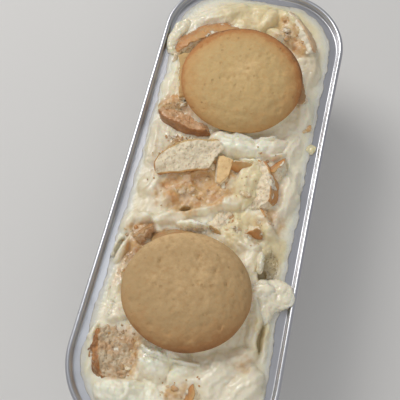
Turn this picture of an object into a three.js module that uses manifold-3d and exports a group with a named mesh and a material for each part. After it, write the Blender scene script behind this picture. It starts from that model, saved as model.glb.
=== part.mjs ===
// A cream pudding with whole and broken wafers, in the smooth-walled aluminium
// loaf pan that it is served in. Millimetres, +Z up, the pan's long side along Y,
// the origin on the table under the middle of the pan.
import * as THREE from "three";
import { mergeVertices } from "three/addons/utils/BufferGeometryUtils.js";
import Module from "manifold-3d";

const wasm = await Module();
wasm.setup();

// ---- Driving dimensions ----

const GAP = 0.3; // kept free between two pieces that touch

const PAN = {
  length: 166, // over the rolled rim
  width: 66,
  height: 40,
  cornerRadius: 23, // of the outline over the rim
  waist: 0.5, // how far each long side draws in at its middle
  wall: 0.5,
  bead: 0.85, // radius of the rolled rim
  ledgeDrop: 2.5, // from the rim's top down to the ledge that a lid sits on
  ledgeInset: 5, // the ledge's inner edge, from the outline
  ledgeRound: 0.6, // where the ledge turns down into the wall
  grooveRound: 0.35, // where the bead turns into the ledge
  floorInset: 11.6, // where the wall meets the rounding to the floor
  footInset: 15, // outer edge of the flat ring that it stands on
  footWidth: 6,
  footSlope: 0.8, // from that ring in to the raised middle of the floor
  footRise: 0.8, // how far the middle of the floor is drawn up
};
const RIM = PAN.height;
const LEDGE = RIM - PAN.ledgeDrop;
const FLOOR = PAN.wall + PAN.footRise;

// The roundings between wall and floor: inset past the wall's foot, and height over the
// floor inside, or over the table outside.
const FLOOR_ROUND = [[0, 3.2], [1.2, 0.9], [3.4, 0]];
const HEEL_ROUND = [[0.7, 1], [-0.5, 4.2]];

// The turns round the rolled rim at which it has an edge, in degrees, from its lower
// inner side out, over the top and back to its inner side.
const BEAD_TURNS = [-100, -140, 180, 135, 90, 45, 0];

const WAFER = {
  radius: 20,
  thickness: 9.4,
  edge: 2.4, // height of the widest line
  foot: 0.86, // radius of the flat underside, as a share of the wafer's
  domePower: 2.6, // how flat the middle of the dome is
  domeFall: 0.55, // how steeply it falls at the edge
};

// The rounding from a wafer's underside to its widest line: share of the radius, height.
const WAFER_HEEL = [[0.945, 0.4], [0.985, 1.2]];

const CORNER_STEPS = 7;
const SIDE_STEPS = 6;
const WAFER_SIDES = 30;
const DOME_STEPS = 7;
const LOBE_SIDES = 14;
const LOBE_RINGS = 9;
const CREAM_CELL = 2.4;
const CREAM_TOLERANCE = 0.05; // how far its flat stretches may be off to save faces

// The cream's heights are measured from the rim's top.
const CREAM = {
  wallLevel: -3.2, // where it meets the wall
  middleLevel: -1.1,
  bank: 7, // over which it rises from the wall
  ripple: 0.22,
  dollop: 4.6, // height of a spoonful over its own widest line
  seat: 0.9, // share of a whole wafer's radius that the cream under it carries
  sunk: 0.6, // how deep the wafer has sunk into that
  hollow: 5, // from a hollow's floor up to its brink
  hollowFloor: 0.5, // the floor's and the brink's place, as shares of the hollow's size
  hollowBrink: 1.3,
};

// The cream's slow waves: turns per mm along X and Y, in radians, and offset.
const RIPPLES = [[0.9, 0.4, 0], [-0.5, 0.75, 1]];

// Spoonfuls and smears of cream, each half an ellipsoid whose top stands `top` above
// the rim: middle x and y, half-length, half-width, turn of its length from +X in
// degrees, and top.
const DOLLOPS = [
  [-13, 68.5, 13, 4.8, 29, 0.8],
  [1, 74, 8, 4, 5, -0.4],
  [-2, 66, 9, 4.6, 10, 0.2],
  [3.8, 69.5, 6.5, 2.6, 68, 2.8],
  [13, 68, 10, 4.6, -48, 2.6],
  [9.5, 62.5, 7, 3, -30, 2],
  [19, 60.5, 6.5, 3.4, -20, 1.6],
  [22.6, 51, 9.5, 3.8, 84, 0.6],
  [23.4, 34, 8, 3.8, 95, 0],
  [-24.8, 37, 12, 3.4, 86, -0.2],
  [-22.5, 27, 6, 4.4, 60, 0.6],
  [-24, 11, 12, 4, 94, 0],
  [-21.5, -4, 6, 5, 70, 0.5],
  [-15, -7, 6, 4, 20, 0.2],
  [3.6, 16.5, 8, 4.8, -12, 2.8],
  [13, 17, 7.5, 4, 20, 2.2],
  [20.5, 19, 7.5, 4.6, 70, 0.9],
  [23.6, 3, 11.5, 4, 88, 0.4],
  [9.4, 3, 8.6, 4.6, 78, 2],
  [5.4, -4.6, 9, 3, 24, 1.8],
  [-4.4, -10, 8, 2, 26, 1.7],
  [-13, -14.4, 8, 2.8, 16, 1.2],
  [10, -16, 9, 6, -30, 1.4],
  [18.6, -9.4, 7, 2.6, -54, 1.6],
  [15.6, -22.4, 6.5, 4, 75, 1.4],
  [-20.6, -16.2, 3.6, 2.6, 30, 1.6],
  [-25.6, -22, 10, 2.4, 82, 0],
  [-23.6, -28.6, 6, 2.6, 70, 0.8],
  [-23, -39, 9, 4, 92, -0.2],
  [-20.6, -48, 6, 3.4, 40, 0.8],
  [19.3, -23, 4, 1.5, 84, 2.8],
  [21.6, -31.4, 5, 3.6, 20, 2.2],
  [21.6, -42, 11, 3.4, 98, 0.9],
  [26, -46, 10, 1.5, 92, -0.8],
  [19.6, -52.4, 6, 3.4, 30, 1.6],
  [-4, -56.6, 9.5, 3, -4, 2.4],
  [-6.4, -61, 6, 4.6, -35, 2.4],
  [13, -60, 7, 5.4, 70, 3.6],
  [22.4, -61.4, 7.4, 4.4, 55, 3],
  [3.6, -61, 6, 3.8, 40, 1.8],
  [-13, -71, 9, 4.6, 8, 2.6],
  [-2, -72, 6, 4.4, -35, 1.8],
  [13.4, -71.6, 8, 4.2, 18, 2],
  [-25, -61, 9, 2.6, 102, -0.4],
];

// Cream that has run out over the ledge and the rim: whole ellipsoids, given by
// middle x, y and z above the rim, half-sizes along x, y and z, and turn in degrees.
const OVERFLOWS = [
  [27, -29.6, -0.4, 5, 3.6, 2.4, -14],
  [29.6, -31.6, 0, 3, 3.7, 2, 0],
  [26.2, -33.2, -0.6, 4.7, 3.6, 2.4, 12],
  [-27.4, 53, -1, 3.6, 4, 2, 10],
  [28, 21.7, -2, 2.3, 2.5, 1.4, 0],
];

// Places where the cream is missing: middle x and y, half-length, half-width, turn in
// degrees, and the floor's height.
const HOLLOWS = [
  [22.8, -23.4, 4.8, 2.8, 98, -4.2],
  [-8.4, -9.6, 2.8, 1.4, 14, -2.8],
  [-25.4, -27, 4.6, 1, 80, -2.6],
  [24.4, -46, 6, 0.9, 92, -2.8],
  [-5, 1.5, 5.5, 4.5, 0, -2.2],
];

// at: middle of the flat underside, above the rim; oval: half-sizes along X and Y;
// face and lean: the azimuth that the top leans to, and by how much, in degrees.
const WHOLE_WAFERS = [
  { name: "wafer_far", at: [-0.2, 39.3, 2.2], oval: [21.1, 20.2], face: -80, lean: 2.5 },
  { name: "wafer_near", at: [-1.2, -37.8, 2.1], oval: [20.1, 19.1], face: 95, lean: 3.5 },
];

// Pieces broken out of a wafer.
// across and along: the part of the wafer that is left, where `along` runs outward and
//   a value over the wafer's radius keeps its baked edge;
// at: where the middle of the piece lies, above the rim;
// face: the azimuth that `along` points to and that the top leans to;
// lean: by how much, in degrees;
// slant: how far the foot of the break stands out under its top, in degrees from
//   upright;
// ends: how far the foot of each end stands out under its top, in the same way;
// thick: how much thicker the piece is than the other wafers.
const FRAGMENTS = [
  {
    name: "fragment_far_left",
    across: [-14, 12], along: [9, 21], at: [-18.5, 56.2, -0.2], face: 122, lean: 4, slant: 14,
    ends: [32, 0],
  },
  {
    name: "fragment_under_far_left",
    across: [-9.5, 9], along: [-6, 4.8], at: [-19, 39.4, -1.8], face: 190, lean: 5,
  },
  {
    name: "fragment_under_far_right",
    across: [-3.8, 3.4], along: [-4, 4.6], at: [19.8, 40.4, -2.7], face: 0, lean: 6,
  },
  {
    name: "fragment_on_edge",
    across: [-10, 10.5], along: [11, 21], at: [-16.7, 20, -3], face: -103, lean: 56,
  },
  {
    name: "fragment_standing",
    across: [-21, 2.2], along: [0, 13], at: [-10.7, 10.1, -3.6], face: 106, lean: 70,
    ends: [0, -40], thick: 1.15,
  },
  {
    name: "fragment_right",
    across: [-9, 8.4], along: [0, 11], at: [16, 3, -3], face: 14, lean: 58,
  },
  {
    name: "fragment_near_left",
    across: [-9.4, 9.4], along: [9.8, 21], at: [-18.6, -60.4, -0.8], face: 198, lean: 22, slant: 60,
  },
  {
    name: "fragment_beside_near",
    across: [-4.4, 4.4], along: [12, 21], at: [-19, -21.4, -0.9], face: 140, lean: 14,
  },
  {
    name: "fragment_under_near",
    across: [-8.5, 8.5], along: [10.4, 21], at: [-8.8, -20, -1.8], face: 100, lean: 14,
  },
  {
    name: "fragment_far_right",
    across: [-9.5, 9.5], along: [10, 21], at: [17, 66.4, -1.4], face: 38, lean: 30, slant: 20,
  },
  {
    name: "chip_middle",
    across: [-2.6, 2.6], along: [-4.7, 4.9], at: [0, 6.2, -2.9], face: 284, lean: 8,
  },
  {
    name: "chip_bar",
    across: [-5, 5], along: [15.8, 21], at: [7.6, 8.8, -1], face: 272, lean: 30,
  },
  {
    name: "chip_right",
    across: [-4.2, 4.2], along: [14.8, 21], at: [18.6, 10.6, -0.7], face: 140, lean: 26,
  },
  {
    name: "chip_ridge",
    across: [-3.2, 3.2], along: [8.4, 15.6], at: [4, -12.2, -3], face: 250, lean: 76,
  },
  {
    name: "chip_right_low",
    across: [-3.2, 3.2], along: [15.4, 21], at: [16.6, -7.4, -0.6], face: 45, lean: 38,
  },
  {
    name: "chip_right_near",
    across: [-3.7, 3.7], along: [15.4, 21], at: [14.8, -13.2, -0.7], face: 275, lean: 40,
  },
  {
    name: "chip_near",
    across: [-2.9, 2.9], along: [14, 21], at: [7.4, -67.8, -0.6], face: 170, lean: 30,
  },
  {
    name: "chip_on_ledge",
    across: [-2.8, 2.8], along: [-1.7, 1.7], at: [26.4, 29.6, -5.9], face: 180, lean: 14,
  },
];
const BREAK_STEP = 4.5; // between the corners of a broken side
const BREAK_ROUGHNESS = 0.8; // how far its corners stand out or in
const CORNER_REACH = 1.4; // how much farther a corner moves out than its two sides

// ---- Materials ----

const finish = (color, roughness, metalness = 0) =>
  new THREE.MeshStandardMaterial({ color, roughness, metalness });
const ALUMINIUM = finish(0xc9cdd2, 0.3, 1);
const CREAM_FINISH = finish(0xe6dcbf, 0.4);
const WAFER_FINISH = finish(0xc79c62, 0.75);
const FRAGMENT_FINISH = finish(0xc29461, 0.7);

// ---- Helpers ----

const radians = THREE.MathUtils.degToRad;

// Numbers from 0 to 1 that are the same in each run.
function seededRandom(seed) {
  let state = seed;
  return () => {
    state = (state * 16807) % 2147483647;
    return state / 2147483647;
  };
}

// A closed geometry as a solid that can be joined and cut.
function solidOf(geometry) {
  const bare = geometry.clone();
  bare.deleteAttribute("normal");
  bare.deleteAttribute("uv");
  const merged = mergeVertices(bare, 1e-4);
  return new wasm.Manifold(
    new wasm.Mesh({
      numProp: 3,
      vertProperties: new Float32Array(merged.attributes.position.array),
      triVerts: new Uint32Array(merged.index.array),
    }),
  );
}

function geometryOf(solid) {
  const mesh = solid.getMesh();
  const geometry = new THREE.BufferGeometry();
  geometry.setAttribute("position", new THREE.BufferAttribute(mesh.vertProperties, 3));
  geometry.setIndex(new THREE.BufferAttribute(mesh.triVerts, 1));
  geometry.computeVertexNormals();
  return geometry;
}

// The largest of the bodies that a cut leaves: loose scraps are dropped.
function largest(solid) {
  const bodies = solid.decompose();
  return bodies.reduce((a, b) => (a.volume() > b.volume() ? a : b));
}

// A skin over rings of equally many points, run counterclockwise seen from above.
// An open skin gets a flat cap on its first and last ring; a closed one joins them.
function loft(rings, closed = false) {
  const count = rings[0].length;
  const positions = rings.flat().flatMap((p) => [p.x, p.y, p.z]);
  const faces = [];
  const spans = closed ? rings.length : rings.length - 1;
  for (let k = 0; k < spans; k++) {
    const low = k * count;
    const high = ((k + 1) % rings.length) * count;
    for (let i = 0; i < count; i++) {
      const j = (i + 1) % count;
      faces.push(low + i, low + j, high + j, low + i, high + j, high + i);
    }
  }
  if (!closed) {
    const last = (rings.length - 1) * count;
    for (const [a, b, c] of THREE.ShapeUtils.triangulateShape(rings[0], [])) faces.push(a, c, b);
    for (const [a, b, c] of THREE.ShapeUtils.triangulateShape(rings.at(-1), []))
      faces.push(last + a, last + b, last + c);
  }
  const geometry = new THREE.BufferGeometry();
  geometry.setAttribute("position", new THREE.Float32BufferAttribute(positions, 3));
  geometry.setIndex(faces);
  return geometry;
}

// ---- The pan ----

// The pan's outline moved in by `inset`, at height z: a rounded rectangle whose
// long sides draw in a little at the middle.
function outlineRing(inset, z) {
  const halfX = PAN.width / 2 - inset;
  const halfY = PAN.length / 2 - inset;
  const radius = Math.max(PAN.cornerRadius - inset, 2);
  const points = [];
  const side = (x) => {
    for (let i = 1; i < SIDE_STEPS; i++) {
      const along = 1 - (2 * i) / SIDE_STEPS;
      points.push([x, -Math.sign(x) * along * (halfY - radius)]);
    }
  };
  const corner = (signX, signY, start) => {
    for (let i = 0; i <= CORNER_STEPS; i++) {
      const angle = radians(start + (90 * i) / CORNER_STEPS);
      const x = signX * (halfX - radius) + radius * Math.cos(angle);
      points.push([x, signY * (halfY - radius) + radius * Math.sin(angle)]);
    }
  };
  corner(1, 1, 0);
  corner(-1, 1, 90);
  side(-halfX);
  corner(-1, -1, 180);
  corner(1, -1, 270);
  side(halfX);
  return points.map(([x, y]) => {
    const middle = (1 - ((2 * y) / PAN.length) ** 2) ** 2;
    return new THREE.Vector3(x * (1 - (middle * 2 * PAN.waist) / PAN.width), y, z);
  });
}

// Inset and height of the pan's inner wall, from the ledge's inner edge to the floor.
const innerWall = [
  [PAN.ledgeInset, LEDGE],
  [PAN.ledgeInset + PAN.ledgeRound, LEDGE - PAN.ledgeRound],
  ...FLOOR_ROUND.map(([inset, z]) => [PAN.floorInset + inset, FLOOR + z]),
];

function makePan() {
  const { wall, bead, footInset, footWidth, footSlope, footRise } = PAN;
  const { floorInset, ledgeInset, ledgeRound, grooveRound } = PAN;
  const outside = [
    [footInset + footWidth + footSlope, footRise],
    [footInset + footWidth, 0],
    [footInset, 0],
    ...HEEL_ROUND.map(([inset, z]) => [floorInset + inset, z]),
    [ledgeInset + ledgeRound - wall, LEDGE - wall - ledgeRound],
    [ledgeInset - wall, LEDGE - wall],
    [2 * bead + ledgeRound, LEDGE - wall],
    [bead + grooveRound, LEDGE + grooveRound],
  ];
  const rolled = BEAD_TURNS.map((degrees) => {
    const angle = radians(degrees);
    return [bead + bead * Math.cos(angle), RIM - bead + bead * Math.sin(angle)];
  });
  const ledge = [
    [2 * (bead + grooveRound), LEDGE + grooveRound],
    [2 * bead + 3 * grooveRound, LEDGE],
  ];
  const profile = [...outside, ...rolled, ...ledge, ...innerWall];
  return solidOf(loft(profile.map(([inset, z]) => outlineRing(inset, z))));
}

// The pan's rim and inner wall grown by the gap: what everything in it keeps clear of.
function makePanClearance() {
  const { bead, ledgeInset, floorInset, grooveRound } = PAN;
  const outer = -4 * bead;
  const bottom = FLOOR + floorInset / 2;
  const profile = [
    [outer, bottom],
    [outer, RIM - bead],
    [-GAP, RIM - bead],
    [0, RIM - GAP / 3],
    [bead, RIM + GAP],
    [2 * bead + GAP, RIM - bead / 2],
    [2 * bead + GAP + 3 * grooveRound, LEDGE + GAP],
    [ledgeInset + GAP, LEDGE + GAP],
    ...innerWall.slice(1, 3).map(([inset, z]) => [inset + GAP, z]),
    [floorInset + GAP, bottom],
  ];
  return solidOf(loft(profile.map(([inset, z]) => outlineRing(inset, z)), true));
}

// ---- Wafers ----

// Height of the dome over the underside, at a share of the wafer's radius.
const domeHeight = (share) =>
  WAFER.edge + (WAFER.thickness - WAFER.edge) * (1 - share ** WAFER.domePower) ** WAFER.domeFall;

// A whole wafer, its underside on z = 0, grown on all sides by `grow`.
function waferGeometry(grow = 0) {
  const { radius, edge, foot } = WAFER;
  const heel = WAFER_HEEL.map(([share, z]) => [share * radius, z]);
  const profile = [[0, 0], [foot * radius, 0], ...heel];
  for (let i = 0; i < DOME_STEPS; i++) {
    const share = Math.cos((radians(90) * i) / DOME_STEPS);
    profile.push([share * radius, domeHeight(share)]);
  }
  profile.push([0, WAFER.thickness]);
  const points = profile.map(
    ([r, z]) => new THREE.Vector2((r * (radius + grow)) / radius, z + (z < edge ? -grow : grow)),
  );
  return new THREE.LatheGeometry(points, WAFER_SIDES).rotateX(radians(90));
}

// A piece's place: its own +Y points to the azimuth `face`, and its top leans there too.
function poseOf({ at, face, lean }) {
  const attitude = new THREE.Euler(radians(-lean), 0, radians(face - 90), "ZYX");
  const [x, y, z] = at;
  return new THREE.Matrix4().makeRotationFromEuler(attitude).setPosition(x, y, RIM + z);
}

function wholeWafer({ oval, face }, grow = 0) {
  const geometry = waferGeometry(grow);
  geometry.scale(oval[0] / WAFER.radius, oval[1] / WAFER.radius, 1);
  return solidOf(geometry.rotateZ(radians(90 - face)));
}

// The rough outline of a broken piece, counterclockwise, its break on the inner side
// first. It runs past an end that a tilted cut makes.
function brokenOutline({ across, along, ends = [0, 0] }) {
  const left = across[0] - (ends[0] ? WAFER.thickness : 0);
  const right = across[1] + (ends[1] ? WAFER.thickness : 0);
  const [inner, outer] = along;
  const random = seededRandom(1 + Math.round(97 * (right - left) + 31 * (outer - inner)));
  const corners = [];
  const side = (from, to) => {
    const steps = Math.max(1, Math.round(from.distanceTo(to) / BREAK_STEP));
    for (let i = 0; i < steps; i++) {
      const corner = from.clone().lerp(to, i / steps);
      corner.x += BREAK_ROUGHNESS * (random() - 0.5);
      corner.y += BREAK_ROUGHNESS * (random() - 0.5) * 2;
      corners.push(corner);
    }
  };
  const a = new THREE.Vector2(left, inner);
  const b = new THREE.Vector2(right, inner);
  const c = new THREE.Vector2(right, outer);
  const d = new THREE.Vector2(left, outer);
  side(a, b);
  side(b, c);
  side(c, d);
  side(d, a);
  return corners;
}

// A block over a broken piece's outline, its sides moved out by about `grow` and the
// foot of its break let out by the slant.
function outlineCutter(piece, grow) {
  const outline = brokenOutline(piece);
  const corners = outline.map((corner, i) => {
    const along = outline[(i + 1) % outline.length].clone().sub(outline.at(i - 1));
    along.setLength(CORNER_REACH * grow);
    return new THREE.Vector2(corner.x + along.y, corner.y - along.x);
  });
  const depth = 3 * WAFER.radius;
  const shape = new THREE.Shape(corners);
  const cutter = new THREE.ExtrudeGeometry(shape, { depth, bevelEnabled: false });
  const breakLine = piece.along[0];
  cutter.translate(0, -breakLine, -depth / 2);
  cutter.rotateX(radians(-(piece.slant ?? 0)));
  cutter.translate(0, breakLine, WAFER.thickness / 2);
  return solidOf(cutter);
}

// A block over all of a piece but what a tilted cut at one end takes off.
function endCutter(piece, end, grow) {
  const sign = end === 0 ? -1 : 1;
  const size = 4 * WAFER.radius;
  const cutter = new THREE.BoxGeometry(size, size, size);
  cutter.translate(sign * (grow - size / 2), 0, 0);
  cutter.rotateY(radians(-sign * piece.ends[end]));
  cutter.translate(piece.across[end], 0, WAFER.thickness / 2);
  return solidOf(cutter);
}

function brokenWafer(piece, grow) {
  let solid = solidOf(waferGeometry(grow)).intersect(outlineCutter(piece, grow));
  for (const end of [0, 1]) {
    if (piece.ends?.[end]) solid = solid.intersect(endCutter(piece, end, grow));
  }
  return solid;
}

// A piece broken out of a wafer, with its middle at the origin.
function fragment(piece, grow = 0) {
  const { min, max } = brokenWafer(piece, 0).boundingBox();
  const centred = brokenWafer(piece, grow).translate(min.map((low, i) => -(low + max[i]) / 2));
  return centred.scale([1, 1, piece.thick ?? 1]);
}

// ---- The cream ----

// How far in from the pan's outline a point lies.
function insetAt(x, y) {
  const { width, length, cornerRadius } = PAN;
  const overX = Math.abs(x) - (width / 2 - cornerRadius);
  const overY = Math.abs(y) - (length / 2 - cornerRadius);
  const outside = Math.hypot(Math.max(overX, 0), Math.max(overY, 0));
  return cornerRadius - outside - Math.min(Math.max(overX, overY), 0);
}

// A point's place in a turned ellipse, where 1 is its edge.
function ellipsePlace(x, y, [middleX, middleY, halfLength, halfWidth, turn]) {
  const angle = radians(turn);
  const [dx, dy] = [x - middleX, y - middleY];
  const along = (dx * Math.cos(angle) + dy * Math.sin(angle)) / halfLength;
  const aside = (dy * Math.cos(angle) - dx * Math.sin(angle)) / halfWidth;
  return Math.hypot(along, aside);
}

function creamHeight(x, y) {
  const { smoothstep, lerp } = THREE.MathUtils;
  const rise = smoothstep(insetAt(x, y) - PAN.ledgeInset, 0, CREAM.bank);
  const waves = RIPPLES.map(([turnsX, turnsY, start]) => Math.sin(turnsX * x + turnsY * y + start));
  const ripple = CREAM.ripple * (waves[0] + waves[1]);
  let height = lerp(CREAM.wallLevel, CREAM.middleLevel, rise) + ripple * rise;
  for (const dollop of DOLLOPS) {
    const place = ellipsePlace(x, y, dollop);
    const top = dollop.at(-1);
    if (place < 1) {
      height = Math.max(height, top - CREAM.dollop * (1 - Math.sqrt(1 - place ** 2)));
    }
  }
  for (const { at, oval } of WHOLE_WAFERS) {
    const place = Math.hypot((x - at[0]) / oval[0], (y - at[1]) / oval[1]);
    if (place < CREAM.seat) height = Math.max(height, at[2] + CREAM.sunk);
  }
  for (const hollow of HOLLOWS) {
    const place = ellipsePlace(x, y, hollow);
    const floor = hollow.at(-1);
    if (place < CREAM.hollowBrink) {
      const brink = smoothstep(place, CREAM.hollowFloor, CREAM.hollowBrink);
      height = Math.min(height, floor + CREAM.hollow * brink);
    }
  }
  return RIM + height;
}

// Everything under the cream's surface, wider than the pan.
function creamBlock() {
  const [wide, long] = [PAN.width, PAN.length];
  const cellsX = Math.round(wide / CREAM_CELL);
  const cellsY = Math.round(long / CREAM_CELL);
  const block = new THREE.BoxGeometry(wide, long, 1, cellsX, cellsY, 1);
  const position = block.attributes.position;
  for (let i = 0; i < position.count; i++) {
    const [x, y] = [position.getX(i), position.getY(i)];
    position.setZ(i, position.getZ(i) > 0 ? creamHeight(x, y) : -1);
  }
  return solidOf(block);
}

// The room inside the pan, clear of its wall, carried straight up past the rim.
function roomInPan() {
  const rings = innerWall.toReversed().map(([inset, z]) => [inset + GAP, z + GAP]);
  rings.push([PAN.ledgeInset + GAP, RIM + WAFER.thickness]);
  return solidOf(loft(rings.map(([inset, z]) => outlineRing(inset, z))));
}

function overflow([x, y, z, sizeX, sizeY, sizeZ, turn]) {
  const geometry = new THREE.SphereGeometry(1, LOBE_SIDES, LOBE_RINGS).rotateX(radians(90));
  geometry.scale(sizeX, sizeY, sizeZ).rotateZ(radians(turn)).translate(x, y, RIM + z);
  return solidOf(geometry);
}

const panClearance = makePanClearance();

function makeCream(pieces) {
  let cream = creamBlock().intersect(roomInPan());
  for (const lobe of OVERFLOWS) cream = cream.add(overflow(lobe).subtract(panClearance));
  for (const piece of pieces) cream = cream.subtract(piece);
  return largest(cream).simplify(CREAM_TOLERANCE);
}

// ---- The object ----

function meshOf(name, solid, material, pose = new THREE.Matrix4()) {
  const mesh = new THREE.Mesh(geometryOf(solid), material);
  mesh.name = name;
  pose.decompose(mesh.position, mesh.quaternion, mesh.scale);
  return mesh;
}

const group = new THREE.Group();
group.add(meshOf("pan", makePan(), ALUMINIUM));

// Each piece is cut back from the pan and from those placed before it, by their
// grown shapes.
const placed = [];
function place(piece, solid, grown, material) {
  const pose = poseOf(piece);
  const back = pose.clone().invert().elements;
  let fitted = solid;
  for (const other of [panClearance, ...placed]) fitted = fitted.subtract(other.transform(back));
  group.add(meshOf(piece.name, largest(fitted), material, pose));
  placed.push(grown.transform(pose.elements));
}

for (const wafer of WHOLE_WAFERS) {
  place(wafer, wholeWafer(wafer), wholeWafer(wafer, GAP), WAFER_FINISH);
}
for (const piece of FRAGMENTS) {
  place(piece, fragment(piece), fragment(piece, GAP), FRAGMENT_FINISH);
}
group.add(meshOf("cream", makeCream(placed), CREAM_FINISH));

export default group;
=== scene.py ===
"""A cream pudding with whole and broken wafers in its aluminium loaf pan.

Lengths are in millimetres while a piece is modelled, and heights are measured from the
pan's rim. A piece is brought to metres, and to the table that the pan stands on, when
it is finished.
"""

import logging
import math
from collections.abc import Callable, Iterable, Sequence
from dataclasses import dataclass, field
from enum import Enum

import bmesh
import bpy
import numpy as np
from mathutils import Euler, Matrix, Vector, noise

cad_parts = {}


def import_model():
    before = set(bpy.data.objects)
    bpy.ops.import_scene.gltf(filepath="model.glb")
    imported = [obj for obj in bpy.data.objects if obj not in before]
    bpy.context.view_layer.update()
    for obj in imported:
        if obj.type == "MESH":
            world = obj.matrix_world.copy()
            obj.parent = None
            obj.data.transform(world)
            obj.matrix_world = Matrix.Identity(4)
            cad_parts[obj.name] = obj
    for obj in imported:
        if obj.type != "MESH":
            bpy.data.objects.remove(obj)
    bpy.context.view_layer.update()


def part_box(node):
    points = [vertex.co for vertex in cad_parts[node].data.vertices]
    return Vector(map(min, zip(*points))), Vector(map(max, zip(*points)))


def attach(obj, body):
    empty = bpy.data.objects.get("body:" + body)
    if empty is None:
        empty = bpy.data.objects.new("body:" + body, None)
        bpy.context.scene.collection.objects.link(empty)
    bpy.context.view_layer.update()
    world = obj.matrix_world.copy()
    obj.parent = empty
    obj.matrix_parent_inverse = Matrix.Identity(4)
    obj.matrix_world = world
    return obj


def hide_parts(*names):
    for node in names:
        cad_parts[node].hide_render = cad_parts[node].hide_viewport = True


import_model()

LOG = logging.getLogger("pudding")
MM = 0.001
RIM_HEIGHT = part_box("pan")[1].z / MM
BODY = "root"
# Where a stain begins to fade and where it ends, as shares of its ellipse.
STAIN_EDGE = (0.55, 1.15)

Colour = tuple[float, float, float]
Row = tuple[float, ...]


# ---- Small tools ----


def srgb(red: int, green: int, blue: int) -> Colour:
    """Turns a colour as a screen shows it into the linear values that a shader takes.

    Args:
        red: Red level, 0 to 255.
        green: Green level.
        blue: Blue level.

    Returns:
        The three linear values.
    """

    def linear(level: int) -> float:
        """One level as a linear value."""
        share = level / 255
        return share / 12.92 if share <= 0.04045 else ((share + 0.055) / 1.055) ** 2.4

    return linear(red), linear(green), linear(blue)


def smoothstep(value: np.ndarray, low: float, high: float) -> np.ndarray:
    """Rises softly from 0 at `low` to 1 at `high`, or falls where low is the larger."""
    share = np.clip((value - low) / (high - low), 0.0, 1.0)
    return share * share * (3 - 2 * share)


def soft_max(a: np.ndarray, b: np.ndarray, blend: float) -> np.ndarray:
    """The larger of two height fields, rounded over `blend` where they meet."""
    near = np.maximum(blend - np.abs(a - b), 0.0) / blend
    return np.maximum(a, b) + near * near * blend / 4


def on_plane(x: np.ndarray, y: np.ndarray) -> np.ndarray:
    """Points without height, one row each."""
    return np.stack([x, y, np.zeros_like(x)], axis=1)


def sample(points: np.ndarray, size: float, kind: Callable[[Vector], float]) -> np.ndarray:
    """Reads a noise at many points.

    Args:
        points: Places, one row each, in mm.
        size: Size of the noise's features in mm.
        kind: The noise, a function of one place.

    Returns:
        One value for each point.
    """
    return np.array([kind(Vector(row)) for row in (points / size).tolist()])


def billow(place: Vector) -> float:
    """Rounded lumps with creases between them, about 0 to 1."""
    return abs(noise.noise(place)) * 1.6


def cells(place: Vector) -> float:
    """Distance to the nearest of scattered points, 0 at the point."""
    return noise.voronoi(place)[0][0]


def ridges(place: Vector) -> float:
    """Thin crests, about 0 to 1.6."""
    return noise.ridged_multi_fractal(place, 1.0, 2.1, 3, 1.0, 2.0)


def crags(place: Vector) -> float:
    """Rough broken relief, about -1 to 1."""
    return noise.fractal(place, 0.7, 2.1, 4)


def flakes(place: Vector) -> float:
    """Small plates that lie at odd tilts, about -1 to 1."""
    nearest = noise.voronoi(place)[1][0]
    tilt = Vector([noise.noise(nearest * 3.7 + Vector((far, 5, 23))) for far in (11, -17, 29)])
    return 1.6 * tilt.dot(place - nearest) + tilt.z


def in_ellipse(x: np.ndarray, y: np.ndarray, row: Row) -> np.ndarray:
    """A point's place in a turned ellipse, where 1 is its edge.

    Args:
        x: Places across.
        y: Places along.
        row: Middle x and y, half-length, half-width and turn in degrees; more may follow.

    Returns:
        The place of each point, and 0 at the ellipse's middle.
    """
    middle_x, middle_y, half_length, half_width, turn = row[:5]
    angle = math.radians(turn)
    dx, dy = x - middle_x, y - middle_y
    along = (dx * math.cos(angle) + dy * math.sin(angle)) / half_length
    aside = (dy * math.cos(angle) - dx * math.sin(angle)) / half_width
    return np.hypot(along, aside)


def wander(x: np.ndarray, y: np.ndarray, reach: float, size: float) -> list[np.ndarray]:
    """Moves places about, so that what is drawn on them loses its ruled edge.

    Args:
        x: Places across.
        y: Places along.
        reach: How far a place may move, in mm.
        size: How far apart the swerves are, in mm.

    Returns:
        The moved places across and along.
    """
    flat = on_plane(x, y)
    return [
        x + reach * sample(flat + 11, size, noise.noise),
        y + reach * sample(flat + 37, size, noise.noise),
    ]


def coverage(x: np.ndarray, y: np.ndarray, rows: Iterable[Row]) -> np.ndarray:
    """How much of a stain lies on each point.

    Args:
        x: Places across.
        y: Places along.
        rows: Turned ellipses, each with the stain's strength as its last value.

    Returns:
        The strength of the strongest patch at each point.
    """
    total = np.zeros_like(x)
    for row in rows:
        share = 1 - smoothstep(in_ellipse(x, y, row), *STAIN_EDGE)
        total = np.maximum(total, share * row[-1])
    return total


# ---- Modelling by hand, in code ----


def start_fresh() -> None:
    """Leaves edit mode and deselects all, so that the next operator acts on one piece."""
    if bpy.context.object and bpy.context.object.mode != "OBJECT":
        bpy.ops.object.mode_set(mode="OBJECT")
    bpy.ops.object.select_all(action="DESELECT")


def take_up(piece: bpy.types.Object) -> None:
    """Makes a piece the one selected and active object.

    Args:
        piece: The piece.
    """
    start_fresh()
    piece.select_set(True)
    bpy.context.view_layer.objects.active = piece


def named(name: str) -> bpy.types.Object:
    """Names the active object and its mesh.

    Args:
        name: The new name.

    Returns:
        The active object.
    """
    piece = bpy.context.object
    piece.name = name
    piece.data.name = name
    return piece


def edit(on: bool) -> None:
    """Enters or leaves edit mode."""
    bpy.ops.object.mode_set(mode="EDIT" if on else "OBJECT")


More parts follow.
